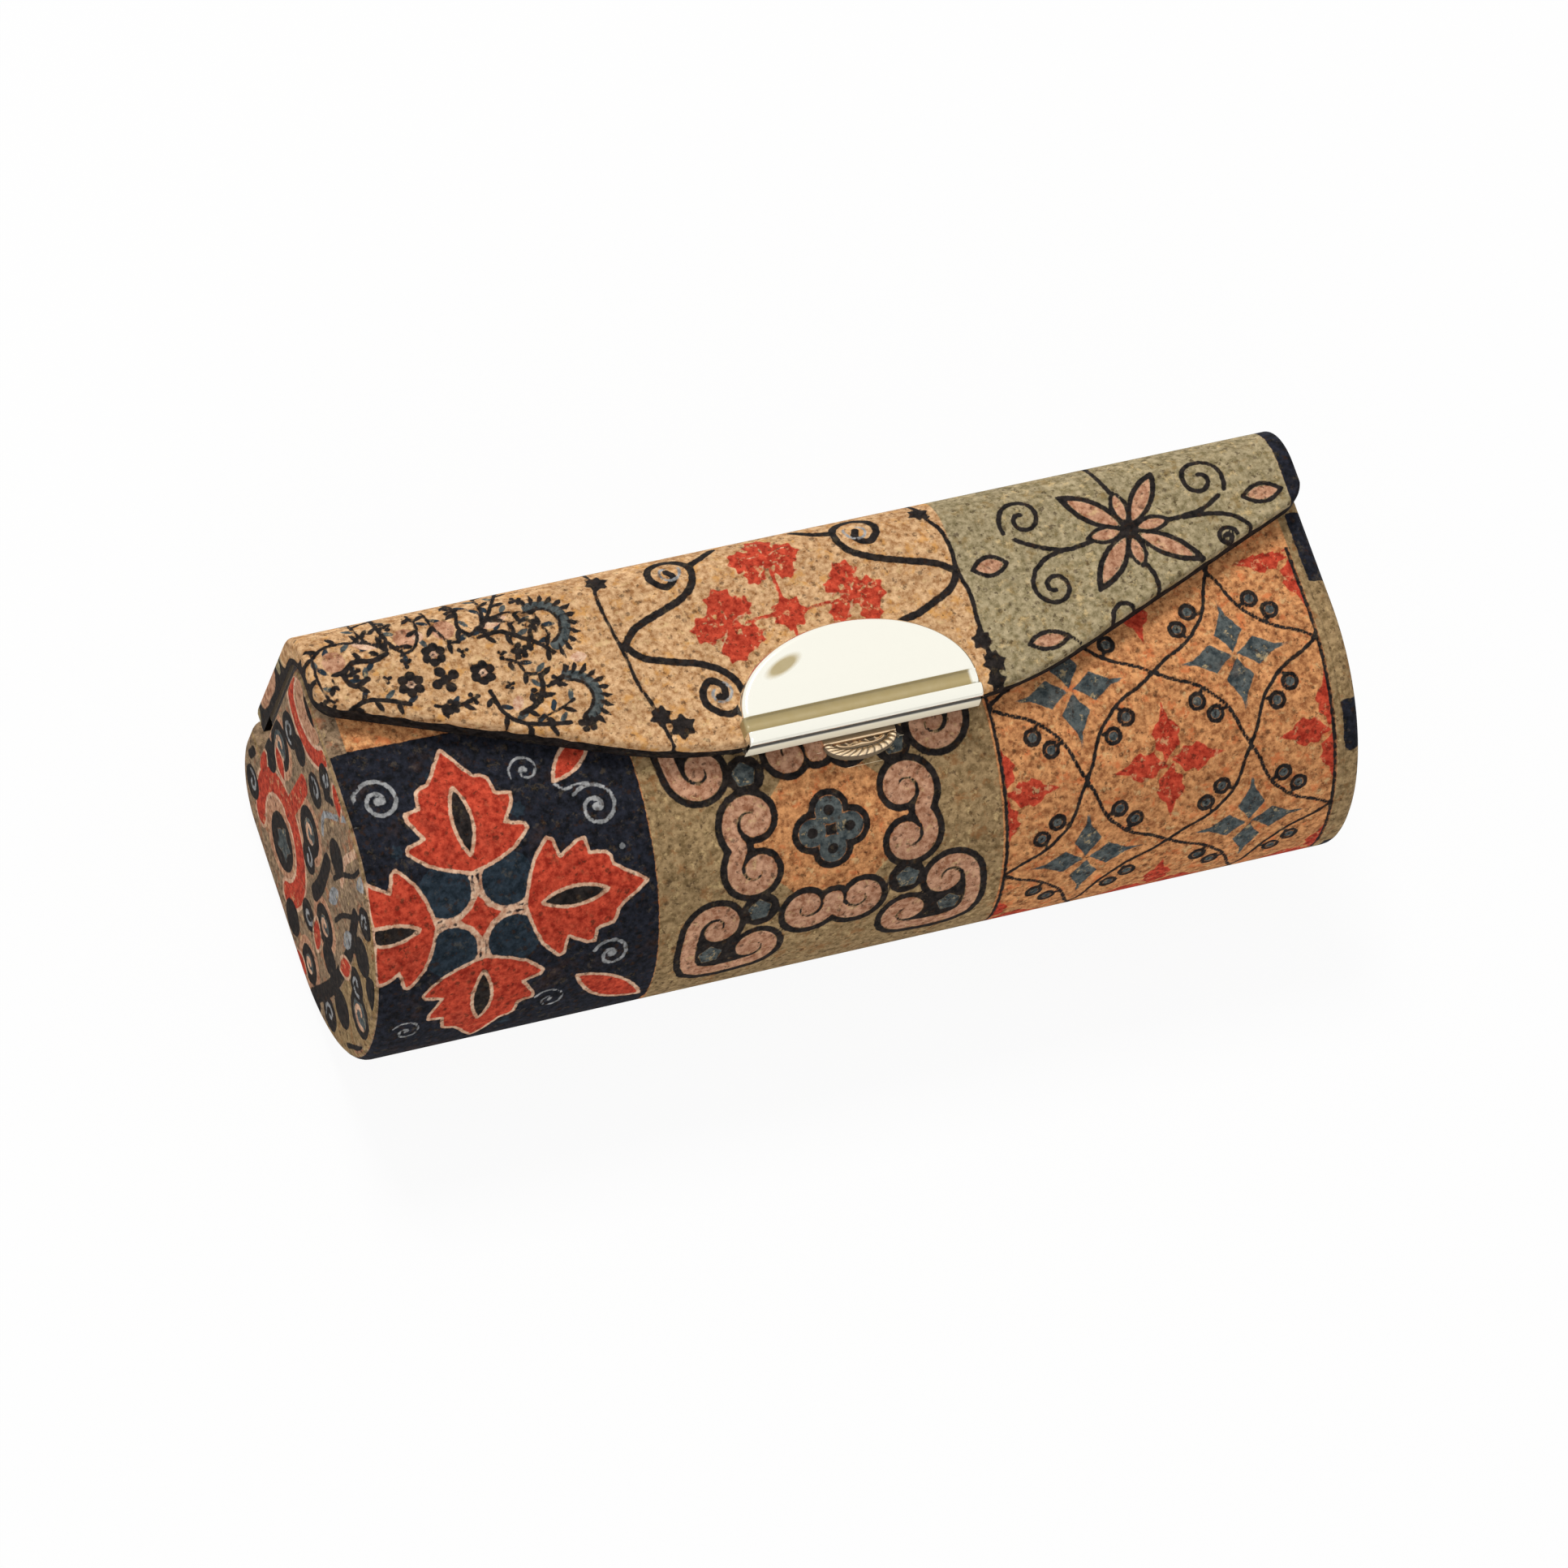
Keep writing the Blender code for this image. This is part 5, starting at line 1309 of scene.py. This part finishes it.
class LIPSTICKBOX_OT_clasp(bpy.types.Operator):
    """Casts the half-moon clasp: a low dome, a sunk band, a rolled front edge and a lip under a seam"""

    bl_idname = "lipstickbox.clasp"
    bl_label = "Cast Clasp"

    def execute(self, context):
        props = context.scene.lipstick_gilt
        half, depth = props.clasp_half / MM, props.clasp_depth / MM
        top, front, low = CLASP_TOP, CLASP_FRONT, CLASP_LOW
        band, inner = CLASP_BAND
        strip, foot = props.lip_height / MM, CLASP_TOP - props.roll_height / MM
        profile = [(front + 0.75, low + 1.0), (front + 0.75, low + 0.1), (front + 0.65, low), (front + 0.12, low)]
        profile += [(front - 0.02, low + 0.08), (front - 0.03, low + 0.3), (front + 0.05, low + strip - 0.12)]
        profile += [(front + 0.12, low + strip), (front + 0.34, low + strip + 0.04), (front + 0.34, foot - 0.08)]
        profile += [(front + 0.1, foot - 0.03)]
        roll = np.radians(np.linspace(4, 88, 22))
        profile += [(band - cos(a) * (band - front), foot + sin(a) * (top - foot)) for a in roll]
        profile += [(band + 0.05, top - 0.1), (band + 0.1, top - 0.3), (inner - 0.1, top - 0.3)]
        profile += [(inner - 0.04, top - 0.1), (inner + 0.02, top - 0.03)]
        crown = CLASP_MIDDLE + depth
        share = np.sin(np.linspace(0, pi / 2, 90)[1:])
        profile += [(inner + 0.02 + (crown - inner - 0.02) * t, top) for t in share]
        profile = np.array(profile)
        swing = np.sin(np.linspace(-pi / 2, pi / 2, 181))
        y = np.broadcast_to(profile[:, :1], (len(profile), len(swing))).copy()
        wide = d_shape(profile[:, 0], CLASP_MIDDLE, 1, half, depth)
        x = wide[:, None] * swing[None, :]
        inward = edge_distance(x, y, CLASP_MIDDLE, half, depth, 1)
        on_top = (profile[:, 0] > inner)[:, None]
        rise = np.minimum((profile[:, 0] - inner) / 2.0, 1).clip(0, 1)[:, None]
        crest = props.crown / MM * (1 - (x / half) ** 2) * rise
        height = profile[:, 1][:, None]
        dome = np.where(on_top, height + crest, height)
        dome -= np.where(height > foot, edge_sink(inward.clip(0, None), np.where(on_top, 0.6, 0.3)), 0)
        made = make_grid("clasp_dome", swing, profile)
        shape_grid(made, np.stack([x, y, dome], axis=-1))
        row = np.broadcast_to(np.arange(len(profile))[:, None], x.shape)
        # Painted reflection: an olive tint in the sunk band, fading out at the right end, and an elongated olive spot
        # on the dome's left
        sunk = (profile[:, 0] > band + 0.02) & (profile[:, 0] < inner - 0.02)
        open_end = 1 - ((x - half + 0.9) / 0.25).clip(0, 1)
        olive = sunk[:, None] * open_end
        spot = placed(np.stack([(x + 5.8).ravel(), (y - 2.3).ravel()], axis=1), (0, 0), -22)
        spot = np.hypot(spot[:, 0] / 1.75, spot[:, 1] / 0.62).reshape(x.shape)
        olive = np.maximum(olive, ((1.2 - spot) * 1.9).clip(0, 0.95) * on_top)
        # Painted highlight on the lip's rows and painted shade on the seam's rows
        lip, seam = ((row >= first) & (row <= last) for first, last in (LIP_ROWS, SEAM_ROWS))
        paint(made, olive=olive, cream_lip=lip, shade=seam)
        skirt(made, x.shape, 1.1, lambda y: low * MM)
        face_out(made, UNDER_LID)
        ride(made, "lid", "pale_gold", plated_material("clasp_gilt", props.clasp_colour, 0.1, 0.9), "clasp_cap")
        return {"FINISHED"}

# The catch's roped rim: its radius and rise in millimetres, and its strands' turns
ROPE, ROPE_RISE, ROPE_TWISTS = 0.38, 0.36, 26


class LIPSTICKBOX_OT_catch(bpy.types.Operator):
    """Casts the push catch: a half-round button with a roped rim, an inner arc and raised curls, with painted shade
    between them where it looks pierced
    """

    bl_idname = "lipstickbox.catch"
    bl_label = "Cast Catch"

    def execute(self, context):
        props = context.scene.lipstick_gilt
        half, depth = props.catch_half / MM, props.catch_depth / MM
        start = CATCH_BACK
        y_line = start - depth * np.sin(np.linspace(0, pi / 2, 110))
        swing = np.sin(np.linspace(-pi / 2, pi / 2, 221))
        wide = d_shape(y_line, start, -1, half, depth)
        x = wide[:, None] * swing[None, :]
        y = np.broadcast_to(y_line[:, None], x.shape)
        inward = edge_distance(x, y, start, half, depth, -1)
        angle = np.arctan2((start - y) / depth, x / half)
        rope = ROPE_RISE * np.sqrt((1 - ((inward - ROPE) / ROPE) ** 2).clip(0, 1))
        twist = np.cos(angle * ROPE_TWISTS + inward * 7.5)
        arc = 0.17 * np.sqrt((1 - ((inward - 1.22) / 0.2) ** 2).clip(0, 1))
        cell = np.cos(x * 3.6 + 1.2 * np.sin((y - start) * 3.2)) * np.cos((y - start) * 4.6 + 0.9 * np.sin(x * 2.6))
        wires = np.exp(-((cell / 0.28) ** 2)) * (inward > 1.5)
        height = CATCH_TOP - ROPE_RISE + rope * (1 + 0.14 * twist) + arc + wires * 0.1 - (inward > 2 * ROPE) * 0.06
        made = make_grid("catch_button_cast", swing, y_line)
        shape_grid(made, np.stack([x, y, height], axis=-1))
        # Painted shade: dark in the groove inside the rope, between the raised wires where the catch looks pierced, in
        # the crevices between the rope's strands and on its edge wall
        groove = np.exp(-(((inward - 0.88) / 0.13) ** 2)) + 0.9 * (inward > 1.5) * (1 - wires)
        shade = groove + (rope > 0) * ((-twist - 0.35) * 1.2).clip(0, 0.8) + (inward < 0.05) * 0.8
        shade = shade.clip(0, 0.92)
        paint(made, olive=np.zeros(x.shape), cream_lip=np.zeros(x.shape), shade=shade)

        def under(y):
            reach = (y / MM - SHOULDER[0]) / SHOULDER_ACROSS
            return (SHOULDER[1] + (TOP - SHOULDER[1]) * sqrt(1 - reach**2) - 0.1) * MM

        skirt(made, x.shape, 0.9, under)
        face_out(made, UNDER_LID)
        gilt = plated_material("catch_gilt", props.catch_colour, 0.3, 0.8)
        ride(made, "button", "pale_gold", gilt, "catch_button")
        bpy.ops.object.select_all(action="DESELECT")
        bpy.ops.mesh.primitive_cube_add(
            size=1, location=(0, (CATCH_BACK + 0.38) * MM, 26.9 * MM), scale=(2 * half * MM, 0.0006, 0.0005)
        )
        bar = bpy.context.object
        bar.name = bar.data.name = "catch_bar"
        bpy.ops.object.transform_apply(location=True, rotation=False, scale=True)
        bevel = bar.modifiers.new("soft_edges", "BEVEL")
        bevel.width, bevel.segments = 0.00012, 3
        bpy.ops.object.modifier_apply(modifier=bevel.name)
        ride(bar, "case", "pale_gold", gilt)
        return {"FINISHED"}


class GiltProps(bpy.types.PropertyGroup):
    """Sizes and colours of the gilt clasp and catch."""

    clasp_half: size_property("Clasp Half Length", "From the clasp's middle to its end", 0.0106)
    clasp_depth: size_property("Dome Depth", "From the clasp's straight part to the dome's back", 0.0069)
    lip_height: size_property("Lip Height", "Height of the clasp's front lip below the seam", 0.0013)
    roll_height: size_property("Roll Height", "From the clasp's top down to the seam", 0.00085)
    crown: size_property("Crown", "How much the dome rises in its middle", 0.00012)
    catch_half: size_property("Catch Half Length", "From the catch's middle to its end", 0.0033)
    catch_depth: size_property("Catch Depth", "From the catch's straight back to its front", 0.0015)
    clasp_colour: colour_property("Clasp", "Pale gold of the clasp", (0.95, 0.93, 0.825))
    catch_colour: colour_property("Catch", "Warmer gold of the catch", (0.88, 0.66, 0.42))


def gold_material():
    """Gilt casting: soft polish with faint waviness and handling marks."""
    sheet = Sheet("pale_gold")
    wave = sheet.noise(0.004, 2.0)
    haze = sheet.noise(0.0009, 3.0)
    tint = sheet.mix(((wave - 0.3) * 2.0).clamped(), (0.9114, 0.784, 0.5488), (0.93, 0.80, 0.56))
    height = wave * 0.6 + haze * 0.08
    return sheet.finish(
        colour=tint, metallic=1.0, roughness=0.2 + haze * 0.06, normal=sheet.bump(height, 0.00004, 0.25)
    )


def grained(name, low, high, *noise):
    """A material's nodes, its grain, and a colour that the grain moves between two."""
    sheet = Sheet(name)
    grain = sheet.noise(*noise)
    return sheet, grain, sheet.mix(grain, low, high)


def steel_material():
    brushed = (0.0006, 3.0, 0.6, (0.2, 1.0, 1.0))
    sheet, lines, tint = grained("satin_steel", (0.52, 0.52, 0.53), (0.66, 0.66, 0.67), *brushed)
    rough = 0.28 + lines * 0.12
    return sheet.finish(colour=tint, metallic=1.0, roughness=rough, normal=sheet.bump(lines, 0.00001, 0.3))


def velvet_material():
    sheet = Sheet("lining_velvet")
    pile = sheet.noise(0.00025, 3.0, 0.7)
    nap = sheet.noise(0.006, 3.0)
    tint = sheet.mix(((nap - 0.3) * 2.0).clamped(), (0.035, 0.018, 0.016), (0.085, 0.045, 0.036))
    tint = sheet.mix(pile * 0.4, tint, (0.14, 0.08, 0.065))
    return sheet.finish(colour=tint, roughness=0.85, sheen=0.5, normal=sheet.bump(pile, 0.0001, 0.5))


def board_material():
    fibrous = (0.0005, 4.0, 0.7, (0.3, 1.0, 1.0))
    sheet, fibre, tint = grained("pasted_board", (0.36, 0.28, 0.19), (0.56, 0.46, 0.33), *fibrous)
    return sheet.finish(colour=tint, roughness=0.85, normal=sheet.bump(fibre, 0.00005, 0.4))


def mirror_material():
    sheet, haze, tint = grained("silvered_glass", (0.86, 0.88, 0.89), (0.93, 0.95, 0.95), 0.01, 2.0)
    return sheet.finish(colour=tint, metallic=1.0, roughness=0.02 + haze * 0.02)


class LIPSTICKBOX_OT_finishes(bpy.types.Operator):
    """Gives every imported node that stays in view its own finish"""

    bl_idname = "lipstickbox.finishes"
    bl_label = "Finish Packed Nodes"

    def execute(self, context):
        finishes = {
            "pale_gold": gold_material(),
            "steel": steel_material(),
            "velvet": velvet_material(),
            "stiff_board": board_material(),
            "mirror_glass": mirror_material(),
            "printed_cork": board_material(),
        }
        slots = {item["node"]: item["material_slot"] for item in frame["record"]["subparts"]}
        for name, node in frame["nodes"].items():
            material = finishes[slots[name]]
            if not node.material_slots:
                node.data.materials.append(material)
            for slot in node.material_slots:
                slot.material = material
        return {"FINISHED"}


class LIPSTICKBOX_PT_panel(bpy.types.Panel):
    """Lists the operators and their settings"""

    bl_idname = "LIPSTICKBOX_PT_panel"
    bl_label = "Lipstick Box"
    bl_space_type = "VIEW_3D"
    bl_region_type = "UI"
    bl_category = "Lipstick Box"

    def draw(self, context):
        layout = self.layout
        for group in GROUPS:
            settings = getattr(context.scene, group)
            box = layout.box()
            for name in settings.__annotations__:
                box.prop(settings, name)
        for step in STEPS:
            layout.operator(step)


STEPS = (
    "lipstickbox.stage", "lipstickbox.body_cork", "lipstickbox.lid_cork", "lipstickbox.end_cork", "lipstickbox.clasp",
    "lipstickbox.catch", "lipstickbox.finishes",
)  # fmt: skip
GROUPS = {
    "lipstick_stage": StageProps, "lipstick_box": BoxProps, "lipstick_inks": InkProps, "lipstick_gilt": GiltProps,
}  # fmt: skip
CLASSES = [
    *GROUPS.values(),
    LIPSTICKBOX_OT_stage,
    LIPSTICKBOX_OT_body_cork,
    LIPSTICKBOX_OT_lid_cork,
    LIPSTICKBOX_OT_end_cork,
    LIPSTICKBOX_OT_clasp,
    LIPSTICKBOX_OT_catch,
    LIPSTICKBOX_OT_finishes,
    LIPSTICKBOX_PT_panel,
]


def register():
    for item in CLASSES:
        bpy.utils.register_class(item)
    for name, group in GROUPS.items():
        setattr(bpy.types.Scene, name, PointerProperty(type=group))


def unregister():
    for name in GROUPS:
        delattr(bpy.types.Scene, name)
    for item in reversed(CLASSES):
        bpy.utils.unregister_class(item)


def main():
    register()
    for step in STEPS:
        getattr(bpy.ops.lipstickbox, step.split(".")[1])()


if __name__ == "__main__":
    main()
